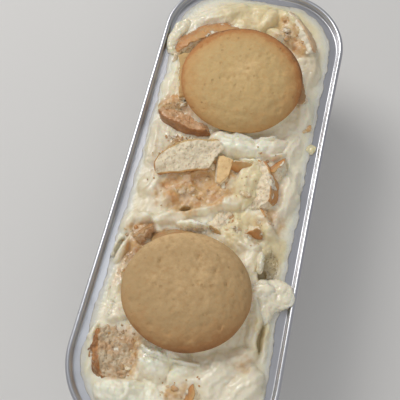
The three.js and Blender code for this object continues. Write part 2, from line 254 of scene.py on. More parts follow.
def pick_edges(test: Callable[[bmesh.types.BMEdge], bool]) -> None:
    """In edit mode, selects just the edges that pass a test.

    Args:
        test: Says of an edge whether it is wanted.
    """
    bpy.ops.mesh.select_mode(type="EDGE")
    bpy.ops.mesh.select_all(action="DESELECT")
    mesh = bpy.context.object.data
    shape = bmesh.from_edit_mesh(mesh)
    for edge in shape.edges:
        edge.select_set(test(edge))
    shape.select_flush_mode()
    bmesh.update_edit_mesh(mesh)


def close_up() -> None:
    """In edit mode, fills the selected ring, turns the faces outwards and leaves edit mode."""
    bpy.ops.mesh.edge_face_add()
    bpy.ops.mesh.select_all(action="SELECT")
    bpy.ops.mesh.normals_make_consistent(inside=False)
    edit(False)


def read_points(piece: bpy.types.Object, what: str) -> np.ndarray:
    """Reads a vector of each of the mesh's points.

    Args:
        piece: The piece.
        what: The name that Blender gives the vector.

    Returns:
        The vectors, one row each.
    """
    rows = np.empty(3 * len(piece.data.vertices))
    piece.data.vertices.foreach_get(what, rows)
    return rows.reshape(-1, 3)


def points_of(piece: bpy.types.Object) -> np.ndarray:
    """The places of the mesh's points, one row each."""
    return read_points(piece, "co")


def normals_of(piece: bpy.types.Object) -> np.ndarray:
    """The outward directions at the mesh's points, one row each."""
    return read_points(piece, "normal")


def move_points(piece: bpy.types.Object, rows: np.ndarray) -> None:
    """Gives the mesh's points new places."""
    piece.data.vertices.foreach_set("co", rows.ravel())
    piece.data.update()


def record(piece: bpy.types.Object, name: str, values: np.ndarray) -> None:
    """Stores one number for each point, for the finish to read."""
    layer = piece.data.attributes.new(name, "FLOAT", "POINT")
    layer.data.foreach_set("value", np.asarray(values, dtype=np.float32))


def modify(piece: bpy.types.Object, kind: str, **settings: object) -> None:
    """Adds a modifier to a piece and applies it.

    Args:
        piece: The piece.
        kind: The modifier's type.
        settings: Its own properties.
    """
    modifier = piece.modifiers.new(kind.lower(), kind)
    for key, value in settings.items():
        setattr(modifier, key, value)
    take_up(piece)
    bpy.ops.object.modifier_apply(modifier=modifier.name)


def remesh(piece: bpy.types.Object, voxel: float) -> None:
    """Turns a closed shape into even small faces, `voxel` mm wide."""
    modify(piece, "REMESH", mode="VOXEL", voxel_size=voxel, use_smooth_shade=True)


def smooth(piece: bpy.types.Object, factor: float, rounds: int) -> None:
    """Relaxes a mesh's points towards their neighbours."""
    modify(piece, "SMOOTH", factor=factor, iterations=rounds)


def deliver(
    piece: bpy.types.Object,
    finish: bpy.types.Material,
    nodes: Sequence[str] = (),
    crease: float = 60,
) -> bpy.types.Object:
    """Brings a finished piece to its place in metres and tells the frame about it.

    Args:
        piece: The modelled object, in mm from the rim.
        finish: Its material.
        nodes: The CAD nodes that it stands for.
        crease: Edges sharper than this angle in degrees stay hard.

    Returns:
        The same object, at the origin, unturned and unscaled.
    """
    take_up(piece)
    piece.data.materials.clear()
    piece.data.materials.append(finish)
    piece.data.transform(Matrix.Scale(MM, 4) @ Matrix.Translation((0, 0, RIM_HEIGHT)))
    bpy.ops.object.shade_smooth_by_angle(angle=math.radians(crease))
    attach(piece, BODY)
    if nodes:
        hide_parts(*nodes)
    faces = sum(len(face.vertices) - 2 for face in piece.data.polygons)
    LOG.info("%s: %d triangles", piece.name, faces)
    return piece


# ---- Finishes ----


class Signal:
    """What one socket of a finish gives; arithmetic on it adds Math nodes."""

    def __init__(self, bench: "Bench", socket: bpy.types.NodeSocket) -> None:
        """Holds the socket and the bench that it belongs to."""
        self.bench = bench
        self.socket = socket

    def maths(self, operation: str, *values: "Signal | float") -> "Signal":
        """Adds a Math node on up to three values."""
        return self.bench.add("ShaderNodeMath", {"operation": operation}, dict(enumerate(values)))

    def __add__(self, other: "Signal | float") -> "Signal":
        """Adds."""
        return self.maths("ADD", self, other)

    __radd__ = __add__

    def __sub__(self, other: "Signal | float") -> "Signal":
        """Subtracts."""
        return self.maths("SUBTRACT", self, other)

    def __rsub__(self, other: "Signal | float") -> "Signal":
        """Subtracts this from a number."""
        return self.maths("SUBTRACT", other, self)

    def __mul__(self, other: "Signal | float") -> "Signal":
        """Multiplies."""
        return self.maths("MULTIPLY", self, other)

    __rmul__ = __mul__

    def ramp(self, low: float, high: float) -> "Signal":
        """Rises softly from 0 to 1, or falls where low is the larger.

        Args:
            low: Where the result is 0.
            high: Where it is 1.

        Returns:
            The ramp's result.
        """
        if low > high:
            return 1 - self.ramp(high, low)
        settings = {"interpolation_type": "SMOOTHSTEP"}
        return self.bench.add("ShaderNodeMapRange", settings, {0: self, 1: low, 2: high})


class Bench:
    """The node tree of one finish, and the ways to add to it."""

    def __init__(self, name: str) -> None:
        """Starts an empty material with that name."""
        self.material = bpy.data.materials.new(name)
        self.material.use_nodes = True
        self.nodes = self.material.node_tree.nodes
        self.links = self.material.node_tree.links
        self.nodes.clear()
        self.place = self.add("ShaderNodeTexCoord", result="Object")

    def add(
        self,
        kind: str,
        settings: dict[str, object] | None = None,
        sockets: dict[int | str, object] | None = None,
        result: int | str = 0,
    ) -> Signal:
        """Adds one node.

        Args:
            kind: The node's type.
            settings: Its own properties, set first.
            sockets: Values, colours or signals for its inputs, by number or name.
            result: The output to hand back.

        Returns:
            That output.
        """
        node = self.nodes.new(kind)
        for key, value in (settings or {}).items():
            setattr(node, key, value)
        for key, value in (sockets or {}).items():
            socket = node.inputs[key]
            if isinstance(value, Signal):
                self.links.new(value.socket, socket)
            elif isinstance(value, tuple) and socket.type == "RGBA":
                socket.default_value = (*value, 1)
            else:
                socket.default_value = value
        return Signal(self, node.outputs[result])

    def attribute(self, name: str) -> Signal:
        """A number stored on the piece's points."""
        return self.add("ShaderNodeAttribute", {"attribute_name": name}, result="Fac")

    def mix(self, share: Signal | float, a: Signal | Colour, b: Signal | Colour) -> Signal:
        """A colour from `a` at share 0 to `b` at share 1."""
        return self.add("ShaderNodeMix", {"data_type": "RGBA"}, {0: share, 6: a, 7: b}, 2)

    def clouds(
        self,
        size: float,
        detail: float = 3,
        roughness: float = 0.5,
        place: Signal | None = None,
    ) -> Signal:
        """Soft noise.

        Args:
            size: Size of its features in mm.
            detail: How many finer layers it has.
            roughness: How strong the finer layers are.
            place: Where it is read, if not at the point itself.

        Returns:
            The noise, about 0 to 1.
        """
        sockets = {"Vector": place or self.place, "Scale": 1 / (size * MM)}
        sockets |= {"Detail": detail, "Roughness": roughness}
        return self.add("ShaderNodeTexNoise", None, sockets)

    def specks(self, size: float) -> Signal:
        """Distance to scattered points about `size` mm apart, 0 at a point."""
        sockets = {"Vector": self.place, "Scale": 1 / (size * MM)}
        return self.add("ShaderNodeTexVoronoi", None, sockets)

    def bump(self, height: Signal, depth: float, strength: float = 1.0) -> Signal:
        """Relief from a signal of 0 to 1 that stands for `depth` mm."""
        sockets = {"Height": height, "Distance": depth * MM, "Strength": strength}
        return self.add("ShaderNodeBump", None, sockets)

    def surface(self, **sockets: object) -> bpy.types.Material:
        """Ends the finish with one principled shader.

        Args:
            sockets: Values and signals for the shader, named with underscores.

        Returns:
            The finished material.
        """
        named_sockets = {key.replace("_", " "): value for key, value in sockets.items()}
        shader = self.add("ShaderNodeBsdfPrincipled", None, named_sockets)
        output = self.nodes.new("ShaderNodeOutputMaterial")
        self.links.new(shader.socket, output.inputs["Surface"])
        return self.material


@dataclass(frozen=True)
class Aluminium:
    """Satin pressed foil with fine drawing marks and a few dull patches, and a bright bead."""

    colour: Colour = srgb(206, 206, 209)
    dulled: Colour = srgb(188, 188, 191)
    roughness: float = 0.27
    bead_roughness: float = 0.3
    bead_depth: float = 2.45
    bead_fade: float = 0.25
    drawing: Row = (1, 0.12, 1)
    mark_size: float = 0.5

    def material(self) -> bpy.types.Material:
        """Builds the finish.

        Returns:
            The material.
        """
        bench = Bench("pressed_foil")
        stretch = {"Vector": bench.place, "Scale": self.drawing}
        drawn = bench.add("ShaderNodeMapping", None, stretch)
        marks = bench.clouds(self.mark_size, 4, place=drawn)
        dull = bench.clouds(14, 3).ramp(0.45, 0.7)
        height = bench.add("ShaderNodeSeparateXYZ", None, {0: bench.place}, 2)
        bead_foot = RIM_HEIGHT - self.bead_depth
        bead = height.ramp(bead_foot * MM, (bead_foot + self.bead_fade) * MM)
        satin = self.roughness + 0.08 * dull + 0.12 * marks
        return bench.surface(
            Base_Color=bench.mix(dull * (1 - bead), self.colour, self.dulled),
            Metallic=1.0,
            Roughness=satin * (1 - bead) + self.bead_roughness * bead,
            Normal=bench.bump((marks * 0.6 + bench.clouds(5, 2) * 0.4) * (1 - bead), 0.04, 0.5),
        )


@dataclass(frozen=True)
class Cream:
    """Soft pudding and whipped cream, soaked with crumbs where the attributes say."""

    white: Colour = srgb(245, 235, 209)
    whipped: Colour = srgb(254, 247, 223)
    yellow: Colour = srgb(236, 219, 174)
    blush: Colour = srgb(222, 189, 150)
    soaked: Colour = srgb(216, 176, 120)
    toasted: Colour = srgb(212, 156, 98)
    # Painted shade, laid into the dips and the pits.
    shade: Colour = srgb(160, 138, 92)

    def colour(self, bench: Bench, soak: Signal, fine: Signal) -> Signal:
        """Lays the stains over the white cream, and paints shade into its hollows and pits.

        Args:
            bench: The finish that it belongs to.
            soak: Where crumbs have soaked in.
            fine: Small soft noise.

        Returns:
            The colour.
        """
        hollow_shade = bench.attribute("hollow_shade")
        blotches = bench.clouds(7, 4, 0.6)
        patches = bench.clouds(3.4, 3, 0.55)
        # Painted shade: the dips are tinted yellower here, and browner and darker below.
        yellow = bench.attribute("yellow_and_shade") + blotches.ramp(0.5, 0.75) * 0.3 + hollow_shade * 0.3
        colour = bench.mix(yellow.ramp(0.0, 1.0), self.white, self.yellow)
        colour = bench.mix(bench.attribute("froth").ramp(0.1, 1.1), colour, self.whipped)
        stain = bench.mix(patches.ramp(0.4, 0.52), self.blush, self.soaked)
        colour = bench.mix(soak * (0.75 + fine * 0.4), colour, stain)
        toasted = (soak * 0.5 + bench.clouds(3.6, 4, 0.6) * 0.95 + hollow_shade * 0.1).ramp(0.98, 1.14)
        colour = bench.mix(toasted * 0.7, colour, self.toasted)
        # Painted shade in the pits and in the dips.
        return bench.mix(bench.attribute("deep") * 0.72 + hollow_shade * 0.12, colour, self.shade)

    def material(self) -> bpy.types.Material:
        """Builds the finish.

        Returns:
            The material.
        """
        bench = Bench("cream")
        soak = bench.attribute("soak")
        wet = bench.attribute("wet")
        grain = bench.clouds(0.7, 3, 0.6)
        bubbles = bench.specks(0.85).ramp(0.42, 0.1) * wet.ramp(0.45, 0.85)
        relief = grain * (0.35 + soak * 0.2) + bench.clouds(2.2, 4) * 0.6 + bubbles * 0.9
        return bench.surface(
            Base_Color=self.colour(bench, soak, bench.clouds(1.6, 4, 0.6)),
            Roughness=(0.36 + 0.14 * soak - 0.2 * wet + 0.1 * grain),
            Subsurface_Weight=0.5,
            Subsurface_Radius=(1.0, 0.75, 0.45),
            Subsurface_Scale=2.2 * MM,
            Coat_Weight=0.35 + 0.65 * wet,
            Coat_Roughness=0.08,
            Normal=bench.bump(relief, 0.5, 0.9),
        )


@dataclass(frozen=True)
class Uptake:
    """What the cream has done to a broken piece, each from 0 to 1.

    `worn` is how much of the skin is gone, `gloss` how wet it shines, `darker` how far
    the skin has darkened, and `smear_from` the level of noise from which cream clings.
    """

    worn: float
    gloss: float
    darker: float
    smear_from: float


class Soak(Enum):
    """How far a broken piece has taken up the cream."""

    DRY = Uptake(0.2, 0.0, 0.0, 1.0)
    DAMP = Uptake(0.55, 0.35, 0.0, 0.57)
    SOAKED = Uptake(0.5, 0.75, 0.4, 0.68)
    COATED = Uptake(0.85, 0.3, 0.0, 0.28)


class WaferBench(Bench):
    """A wafer's node tree, with the patterns that its skin, crumb and relief share."""

    def __init__(self, name: str) -> None:
        """Starts the material and lays out the patterns."""
        super().__init__(name)
        self.bake = self.attribute("bake")
        self.inside = self.attribute("inside")
        self.mottle = self.clouds(5, 4, 0.6)
        self.fine = self.clouds(0.9, 3, 0.6)
        self.freckles = self.clouds(1.7, 3, 0.6)
        # The pits and pores are dented by the bump and darkened with painted shade.
        large_pits = self.specks(2.9).ramp(0.2, 0.07) * self.mottle.ramp(0.4, 0.6)
        small_pits = self.specks(1.7).ramp(0.22, 0.08) * self.freckles.ramp(0.48, 0.62)
        self.pits = large_pits + small_pits * 0.5
        self.pores = self.specks(0.9).ramp(0.5, 0.1) * self.clouds(1.3, 3, 0.6).ramp(0.35, 0.6)
        self.damp = (self.bake + self.mottle * 0.5).ramp(0.35, 1.1)


@dataclass(frozen=True)
class Wafer:
    """Baked plain wafer: smooth tan dome, darker edge, pale porous inside."""

    soak: Soak = Soak.DRY
    name: str = ""
    pale: Colour = srgb(244, 208, 152)
    middle: Colour = srgb(208, 176, 121)
    tan: Colour = srgb(205, 161, 104)
    edge: Colour = srgb(190, 130, 75)
    rim: Colour = srgb(140, 92, 54)
    crumb: Colour = srgb(246, 231, 200)
    pore: Colour = srgb(222, 186, 134)
    dimple_shade: Colour = srgb(160, 124, 78)
    stale: Colour = srgb(170, 140, 102)
    stained: Colour = srgb(214, 154, 94)
    cream: Colour = srgb(244, 235, 211)

    def skin(self, bench: WaferBench) -> Signal:
        """Colours the baked side, the browner the more it was baked, with shade painted into its
        dimples.

        Args:
            bench: The finish that it belongs to.

        Returns:
            The colour.
        """
        toasting = bench.bake + (bench.mottle - 0.5) * 0.6 + (bench.freckles - 0.5) * 0.4
        colour = bench.mix(toasting.ramp(-0.5, 0.2), self.pale, self.middle)
        browner = ((0.25, 0.8, self.tan), (0.72, 1.02, self.edge), (1.02, 1.4, self.rim))
        for low, high, tone in browner:
            colour = bench.mix(toasting.ramp(low, high), colour, tone)
        # Painted shade in the dimples.
        colour = bench.mix(bench.pits * 0.4, colour, self.dimple_shade)
        colour = bench.mix(bench.freckles.ramp(0.5, 0.72) * 0.5, colour, self.tan)
        return bench.mix(bench.fine.ramp(0.5, 0.8) * 0.22, colour, self.edge)

    def open_crumb(self, bench: WaferBench) -> Signal:
        """Colours the broken side: pale, with shade painted into its pores, and stained where it is
        damp.

        Args:
            bench: The finish that it belongs to.

        Returns:
            The colour.
        """
        # Painted shade in the pores.
        colour = bench.mix(bench.pores * 0.42, self.crumb, self.pore)
        colour = bench.mix(bench.fine.ramp(0.45, 0.8) * 0.35, colour, self.pore)
        tone = self.stained if self.soak is Soak.SOAKED else self.stale
        return bench.mix(bench.damp * 0.85, colour, tone)

    def smear(self, bench: WaferBench) -> Signal:
        """Spreads cream over a piece that has lain in it.

        Args:
            bench: The finish that it belongs to.

        Returns:
            Where the cream clings, 0 to 1.
        """
        low = self.soak.value.smear_from
        smear = bench.clouds(4.6, 4, 0.6).ramp(low, low + 0.08)
        return smear * (0.3 + bench.inside * 0.6) if self.soak is Soak.COATED else smear

    def material(self) -> bpy.types.Material:
        """Builds the finish.

        Returns:
            The material.
        """
        bench = WaferBench(f"wafer_{self.name or self.soak.name.lower()}")
        inside, uptake = bench.inside, self.soak.value
        torn = inside + bench.clouds(3.0, 4, 0.65).ramp(0.44, 0.6) * uptake.worn
        torn = (torn - 0.12 * uptake.worn).ramp(0.35, 0.65)
        colour = bench.mix(torn, self.skin(bench), self.open_crumb(bench))
        grain = bench.fine * 0.5 + bench.clouds(2.1, 2) * 0.6 + bench.freckles * 0.3
        grain = grain + (1 - bench.pores) * inside * 0.65 + (1 - bench.pits) * (1 - inside) * 0.5
        if self.soak is not Soak.DRY:
            stain = bench.clouds(3.6, 3, 0.6).ramp(0.42, 0.6)
            stain = stain * (1 - inside * (0.8 - bench.damp * 0.6))
            colour = bench.mix(stain * 0.6, colour, self.stained)
            colour = bench.mix(uptake.darker * (1 - inside * 0.7), colour, self.rim)
            smear = self.smear(bench)
            colour = bench.mix(smear * 0.9, colour, self.cream)
            grain = grain * (1 - smear * 0.8)
        return bench.surface(
            Base_Color=colour,
            Roughness=0.74 - 0.35 * uptake.gloss + 0.12 * bench.fine,
            Subsurface_Weight=0.12,
            Subsurface_Radius=(1.0, 0.6, 0.3),
            Subsurface_Scale=1.0 * MM,
            Specular_IOR_Level=0.4,
            Coat_Weight=uptake.gloss,
            Coat_Roughness=0.15,
            Normal=bench.bump(grain, 0.42, 0.9),
        )


@dataclass(frozen=True)
class Floor:
    """Plain pale floor."""

    colour: Colour = srgb(222, 220, 216)
    darker: Colour = srgb(206, 204, 200)

    def material(self) -> bpy.types.Material:
        """Builds the finish."""
        bench = Bench("pale_floor")
        tone = bench.mix(bench.clouds(220, 2) * 0.2, self.colour, self.darker)
        return bench.surface(Base_Color=tone, Roughness=0.75)


# ---- The pan ----


@dataclass
class Pan:
    """Smooth-walled loaf pan with a rolled rim and a ledge for a lid.

    An inset is measured in from the rim's widest line, and a drop down from the rim.
    `waist` is how far the long sides are drawn in at their middle, `bead` the radius of
    the rolled rim, `shoulder` the bend from the ledge to the wall, `heel` the height of
    the bend from the wall to the floor, and `foot` the ring that the pan stands on.
    """

    length: float = 166
    width: float = 66
    height: float = RIM_HEIGHT
    corner: float = 23
    corner_steps: int = 26
    side_cuts: int = 58
    end_cuts: int = 11
    waist: float = 0.5
    wall: float = 0.45
    bead: float = 0.85
    ledge_drop: float = 2.5
    ledge_inset: float = 5.0
    shoulder_inset: float = 0.6
    shoulder_drop: float = 0.7
    floor_inset: float = 11.6
    heel: float = 3.2
    foot_inset: float = 15.0
    foot_width: float = 6.0
    foot_rise: float = 0.8
    dents: float = 0.12
    clearance: float = 0.3

    @property
    def bead_profile(self) -> list[Row]:
        """Inset and height of the rolled rim, from its widest line to the groove inside it."""
        turns = [math.radians(turn) for turn in (*range(75, -61, -15), -72, -82)]
        return [
            (self.bead * (1 - math.sin(turn)), -self.bead * (1 - math.cos(turn))) for turn in turns
        ]

    @property
    def inner_profile(self) -> list[Row]:
        """Inset and height of the inside, from the groove to the middle of the floor."""
        ledge = -self.ledge_drop
        floor = -self.height + self.wall
        panel = floor + self.foot_rise
        step = 2 * self.bead
        foot_end = self.foot_inset + self.foot_width
        wall_head = (self.ledge_inset + self.shoulder_inset, ledge - self.shoulder_drop)
        wall_foot = (self.floor_inset, panel + self.heel)
        wall = [
            tuple(a + (b - a) * share for a, b in zip(wall_head, wall_foot))
            for share in (0, 0.25, 0.5, 0.75, 1)
        ]
        return [
            (step + 0.01, ledge + 1.3),
            (step + 0.03, ledge + 0.9),
            (step + 0.06, ledge + 0.45),
            (step + 0.14, ledge + 0.22),
            (step + 0.3, ledge + 0.06),
            (step + 0.48, ledge),
            (step + 0.7, ledge),
            (0.5 * (step + self.ledge_inset), ledge - 0.02),
            (self.ledge_inset - 0.35, ledge),
            (self.ledge_inset - 0.15, ledge),
            (self.ledge_inset + 0.1, ledge - 0.08),
            *wall,
            (self.floor_inset + 0.5, panel + 1.7),
            (self.floor_inset + 1.5, panel + 0.6),
            (self.foot_inset, floor),
            (foot_end, floor),
            (foot_end + 0.8, panel),
            (foot_end + 3, panel),
        ]

    def waist_at(self, y: np.ndarray) -> np.ndarray:
        """How far the long sides are drawn in at places along the pan."""
        return self.waist * (1 - (2 * y / self.length) ** 2) ** 2

    def inset(self, x: np.ndarray, y: np.ndarray) -> np.ndarray:
        """How far in from the pan's outline, before its waist, points lie.

        Args:
            x: Places across.
            y: Places along.

        Returns:
            One inset for each place, negative outside.
        """
        over_x = np.abs(x) - (self.width / 2 - self.corner)
        over_y = np.abs(y) - (self.length / 2 - self.corner)
        outside = np.hypot(np.maximum(over_x, 0), np.maximum(over_y, 0))
        return self.corner - outside - np.minimum(np.maximum(over_x, over_y), 0)

    def keep_in(self, rows: np.ndarray) -> np.ndarray:
        """Moves points that would pass through the ledge or the wall back inside the pan.

        Args:
            rows: A piece's points in their place.

        Returns:
            The points, all clear of the foil.
        """
        ledge, bead = self.ledge_drop, 2 * self.bead
        # What the foil takes up at each drop: the bead, the groove, the ledge and the wall.
        foil = (
            (-0.1, -bead),
            (0.1, bead),
            (ledge - self.clearance, bead),
            (ledge, self.ledge_inset),
            (ledge + self.shoulder_drop, self.ledge_inset + self.shoulder_inset),
            (self.height - self.foot_rise - self.heel, self.floor_inset),
        )
        x, y = rows[:, 0], rows[:, 1]
        needed = np.interp(-rows[:, 2], *zip(*foil)) + self.clearance + self.waist_at(y)
        lacking = np.maximum(needed - self.inset(x, y), 0)
        step = 0.01
        inward_x = (self.inset(x + step, y) - self.inset(x - step, y)) / (2 * step)
        inward_y = (self.inset(x, y + step) - self.inset(x, y - step)) / (2 * step)
        return np.stack([x + inward_x * lacking, y + inward_y * lacking, rows[:, 2]], axis=1)

    def outline(self) -> bpy.types.Object:
        """Draws the rim's widest line as one flat face with rounded ends.

        Returns:
            The face, in edit mode and selected.
        """
        start_fresh()
        bpy.ops.mesh.primitive_plane_add(size=1, location=(0, 0, 0))
        piece = named("pan_body")
        edit(True)
        bpy.ops.transform.resize(value=(self.width, self.length, 1), center_override=(0, 0, 0))
        bpy.ops.transform.translate(value=(0, 0, -self.bead))
        bpy.ops.mesh.bevel(offset=self.corner, segments=self.corner_steps, affect="VERTICES")
        bpy.ops.mesh.select_all(action="SELECT")
        bpy.ops.mesh.delete(type="ONLY_FACE")
        for side, cuts in ((self.length, self.side_cuts), (self.width, self.end_cuts)):
            straight = side - 2 * self.corner
            pick_edges(lambda edge, length=straight: abs(edge.calc_length() - length) < 1)
            bpy.ops.mesh.subdivide(number_cuts=cuts)
        bpy.ops.mesh.select_all(action="SELECT")
        bpy.ops.mesh.edge_face_add()
        if bmesh.from_edit_mesh(piece.data).faces[0].normal.z < 0:
            bpy.ops.mesh.flip_normals()
        return piece

    def press(self, profile: list[Row]) -> None:
        """Presses the selected face in and down.

        Args:
            profile: The inset and the height of each bend.
        """
        inset, height = 0.0, -self.bead
        for next_inset, next_height in profile:
            thickness, depth = next_inset - inset, next_height - height
            bpy.ops.mesh.inset(thickness=thickness, depth=depth, use_even_offset=True)
            inset, height = next_inset, next_height

    def draw_in(self, inset: float, next_inset: float, upright: float, level: float) -> None:
        """Brings the selected ring of edges from one inset to another.

        Args:
            inset: Where the ring is.
            next_inset: Where it goes.
            upright: What its heights over the level are multiplied by.
            level: The height that stays.
        """
        half = (self.width / 2, self.length / 2)
        factor = [(side - next_inset) / (side - inset) for side in half]
        bpy.ops.transform.resize(value=(*factor, upright), center_override=(0, 0, level))

    def curl(self) -> None:
        """Rolls the outer edge down and in, as the lower half of the bead."""
        pick_edges(lambda edge: edge.is_boundary)
        inset, height = 0.0, -self.bead
        for turn in (22.5, 45, 67.5, 90, 125, 160):
            angle = math.radians(turn)
            next_inset = self.bead * (1 - math.cos(angle))
            next_height = -self.bead * (1 + math.sin(angle))
            drop = {"value": (0, 0, next_height - height)}
            bpy.ops.mesh.extrude_edges_move(TRANSFORM_OT_translate=drop)
            self.draw_in(inset, next_inset, 1, 0)
            inset, height = next_inset, next_height

    def build(self) -> bpy.types.Object:
        """Models the pan.

        Returns:
            The finished pan, in place.
        """
        piece = self.outline()
        self.press(self.bead_profile + self.inner_profile)
        self.curl()
        edit(False)
        rows = points_of(piece)
        rows[:, 0] *= 1 - 2 * self.waist_at(rows[:, 1]) / self.width
        move_points(piece, rows)
        modify(piece, "SOLIDIFY", thickness=self.wall, offset=-1)
        self.dent(piece)
        return deliver(piece, Aluminium().material(), ["pan"], crease=50)

    def dent(self, piece: bpy.types.Object) -> None:
        """Gives the foil the slight waves of thin metal, less at the bead and the foot.

        Args:
            piece: The pressed pan.
        """
        rows = points_of(piece)
        over_foot = rows[:, 2] + self.height
        share = smoothstep(-rows[:, 2], 2.2, 5) * smoothstep(over_foot, 1, 6)
        waves = sample(rows, 11, noise.noise) + 0.5 * sample(rows + 40, 5, noise.noise)
        rows += normals_of(piece) * (self.dents * share * waves)[:, None]
        rows[:, 2] += 0.05 * sample(rows, 16, noise.noise) * smoothstep(rows[:, 2], -3, -1)
        move_points(piece, rows)


# ---- Wafers ----


@dataclass
class WaferShape:
    """The form that every wafer was baked in, its underside on height 0.

    `edge` is the height at which the dome starts, and `foot` the flat underside's share
    of the radius.
    """

    radius: float = 20.0
    thickness: float = 9.4
    edge: float = 2.4
    foot: float = 0.86
    dome_power: float = 2.6
    dome_fall: float = 0.55
    sides: int = 168
    dome_steps: int = 46

    def dome(self, share: np.ndarray | float) -> np.ndarray:
        """Height of the dome at a share of the radius."""
        fall = (1 - np.clip(share, 0, 1) ** self.dome_power) ** self.dome_fall
        return self.edge + (self.thickness - self.edge) * fall

    def profile(self) -> list[Row]:
        """Draws half a section through the wafer.

        Returns:
            Radius and height from the edge of the foot to the top's middle.
        """
        heel = ((0.90, 0.06), (0.93, 0.22), (0.955, 0.52), (0.975, 0.95), (0.99, 1.5), (0.998, 2.0))
        rows = [(share * self.radius, height) for share, height in heel]
        for step in range(self.dome_steps):
            share = math.cos(math.pi / 2 * step / self.dome_steps)
            rows.append((share * self.radius, float(self.dome(share))))
        return rows

    def bake(self, name: str) -> bpy.types.Object:
        """Raises the wafer ring by ring from its flat foot.

        Args:
            name: The piece's name.

        Returns:
            The closed wafer, upright, its foot's middle at the origin.
        """
        start_fresh()
        foot = self.foot * self.radius
        bpy.ops.mesh.primitive_circle_add(vertices=self.sides, radius=foot, fill_type="NOTHING")
        piece = named(name)
        edit(True)
        bpy.ops.mesh.select_all(action="SELECT")
        radius, height = foot, 0.0
        for next_radius, next_height in self.profile():
            self.raise_ring(next_radius / radius, next_height - height)
            radius, height = next_radius, next_height
        bpy.ops.mesh.edge_face_add()
        pick_edges(lambda edge: edge.is_boundary)
        radius = foot
        for share in (0.9, 0.75, 0.6, 0.45, 0.3, 0.15):
            self.raise_ring(share * foot / radius, 0)
            radius = share * foot
        close_up()
        return piece

    def raise_ring(self, factor: float, rise: float) -> None:
        """Extrudes the selected ring up, and widens it by a factor."""
        bpy.ops.mesh.extrude_edges_move(TRANSFORM_OT_translate={"value": (0, 0, rise)})
        bpy.ops.transform.resize(value=(factor, factor, 1), center_override=(0, 0, 0))

    def depth(self, rows: np.ndarray) -> np.ndarray:
        """Measures how far points lie under the baked skin.

        Args:
            rows: Places in the upright wafer.

        Returns:
            Depths in mm, negative outside the wafer.
        """
        share = np.hypot(rows[:, 0], rows[:, 1]) / self.radius
        under_dome = self.dome(share) - rows[:, 2]
        return np.minimum(np.minimum(under_dome, rows[:, 2]), (1 - share) * self.radius)


def lay(rows: np.ndarray, at: Row, face: float, lean: float) -> np.ndarray:
    """Turns points about the origin and moves them to their place.

    Args:
        rows: Points, one row each.
        at: Where the origin goes.
        face: The azimuth in degrees that a piece's own +Y, and its lean, points to.
        lean: By how much its top leans there, in degrees.

    Returns:
        The placed points.
    """
    facing = Matrix.Rotation(math.radians(face - 90), 3, "Z")
    leaning = Matrix.Rotation(math.radians(-lean), 3, "X")
    return rows @ np.array(facing @ leaning).T + np.array(at)


@dataclass
class WholeWafer:
    """A wafer that lies on the cream in one piece.

    `at` is the middle of its foot, `oval` its half-sizes across and along, `face` and
    `lean` say where and how far it leans, and `seed` picks its dimples. `browner` says
    how much more it is browned towards +X and +Y, and how much in all. On the near wafer
    this is partly painted light and shade: paler towards its lit far side and browner
    towards its shaded right.
    """

    name: str
    at: Row
    oval: tuple[float, float]
    face: float
    lean: float
    seed: float
    browner: Row
    shape: WaferShape = field(default_factory=WaferShape)

    def place_of(self, x: np.ndarray, y: np.ndarray) -> np.ndarray:
        """How far out points lie from the wafer's middle, where 1 is its edge."""
        return np.hypot((x - self.at[0]) / self.oval[0], (y - self.at[1]) / self.oval[1])

    def build(self, finish: bpy.types.Material) -> bpy.types.Object:
        """Models and places the wafer.

        Args:
            finish: The material for the baked skin.

        Returns:
            The finished wafer.
        """
        piece = self.shape.bake(self.name + "_baked")
        rows = points_of(piece)
        share = np.hypot(rows[:, 0], rows[:, 1]) / self.shape.radius
        seeded = rows + self.seed
        wobble = 0.16 * sample(seeded, 12, noise.noise) + 0.07 * sample(seeded, 4, noise.noise)
        rows += normals_of(piece) * wobble[:, None]
        edge_place = on_plane(rows[:, 0], rows[:, 1]) + np.array([0, 0, self.seed])
        rows[:, :2] *= (1 + 0.007 * sample(edge_place, 9, noise.noise) * share)[:, None]
        rows[:, 2] += smoothstep(rows[:, 2], 3, 5) * self.relief(seeded)
        turn = np.array(Matrix.Rotation(math.radians(90 - self.face), 3, "Z"))
        stretch = np.array([*self.oval, self.shape.radius]) / self.shape.radius
        laid = lay((rows * stretch) @ turn.T, self.at, self.face, self.lean)
        record(piece, "bake", self.browning(share, seeded, laid))
        record(piece, "inside", np.zeros(len(rows)))
        move_points(piece, laid)
        return deliver(piece, finish, [self.name], crease=80)

    def relief(self, seeded: np.ndarray) -> np.ndarray:
        """Shapes the baked top: fine pimples, round dimples and a few long grooves.

        Args:
            seeded: The places at which the noise is read.

        Returns:
            How far each point is raised, in mm.
        """
        pimples = sample(seeded, 1.9, noise.noise) + 0.8 * sample(seeded, 3.6, noise.noise)
        dimples = smoothstep(sample(seeded, 5.2, cells), 0.24, 0.04)
        dimples += 0.8 * smoothstep(sample(seeded + 30, 3.2, cells), 0.26, 0.08)
        drawn = seeded * np.array([1, 0.4, 1]) + 50
        grooves = smoothstep(sample(drawn, 3.6, cells), 0.2, 0.04)
        grooves *= smoothstep(sample(seeded, 8, noise.noise), -0.15, 0.2)
        return 0.3 * pimples - 0.55 * dimples - 0.8 * grooves

    def browning(self, share: np.ndarray, seeded: np.ndarray, laid: np.ndarray) -> np.ndarray:
        """Browns the skin more towards the edge, and more on one side.

        On the near wafer the one-sided part is partly painted light and shade.

        Args:
            share: Each point's share of the radius.
            seeded: The places at which the noise is read.
            laid: The placed points.

        Returns:
            How brown the skin is at each point.
        """
        aside = (laid[:, :2] - np.array(self.at[:2])) / self.shape.radius
        browner = self.browner[2] + aside @ np.array(self.browner[:2])
        uneven = 0.15 * sample(seeded, 12, noise.noise) + 0.1 * smoothstep(share, 0.93, 1.0)
        return share**2 * browner + uneven


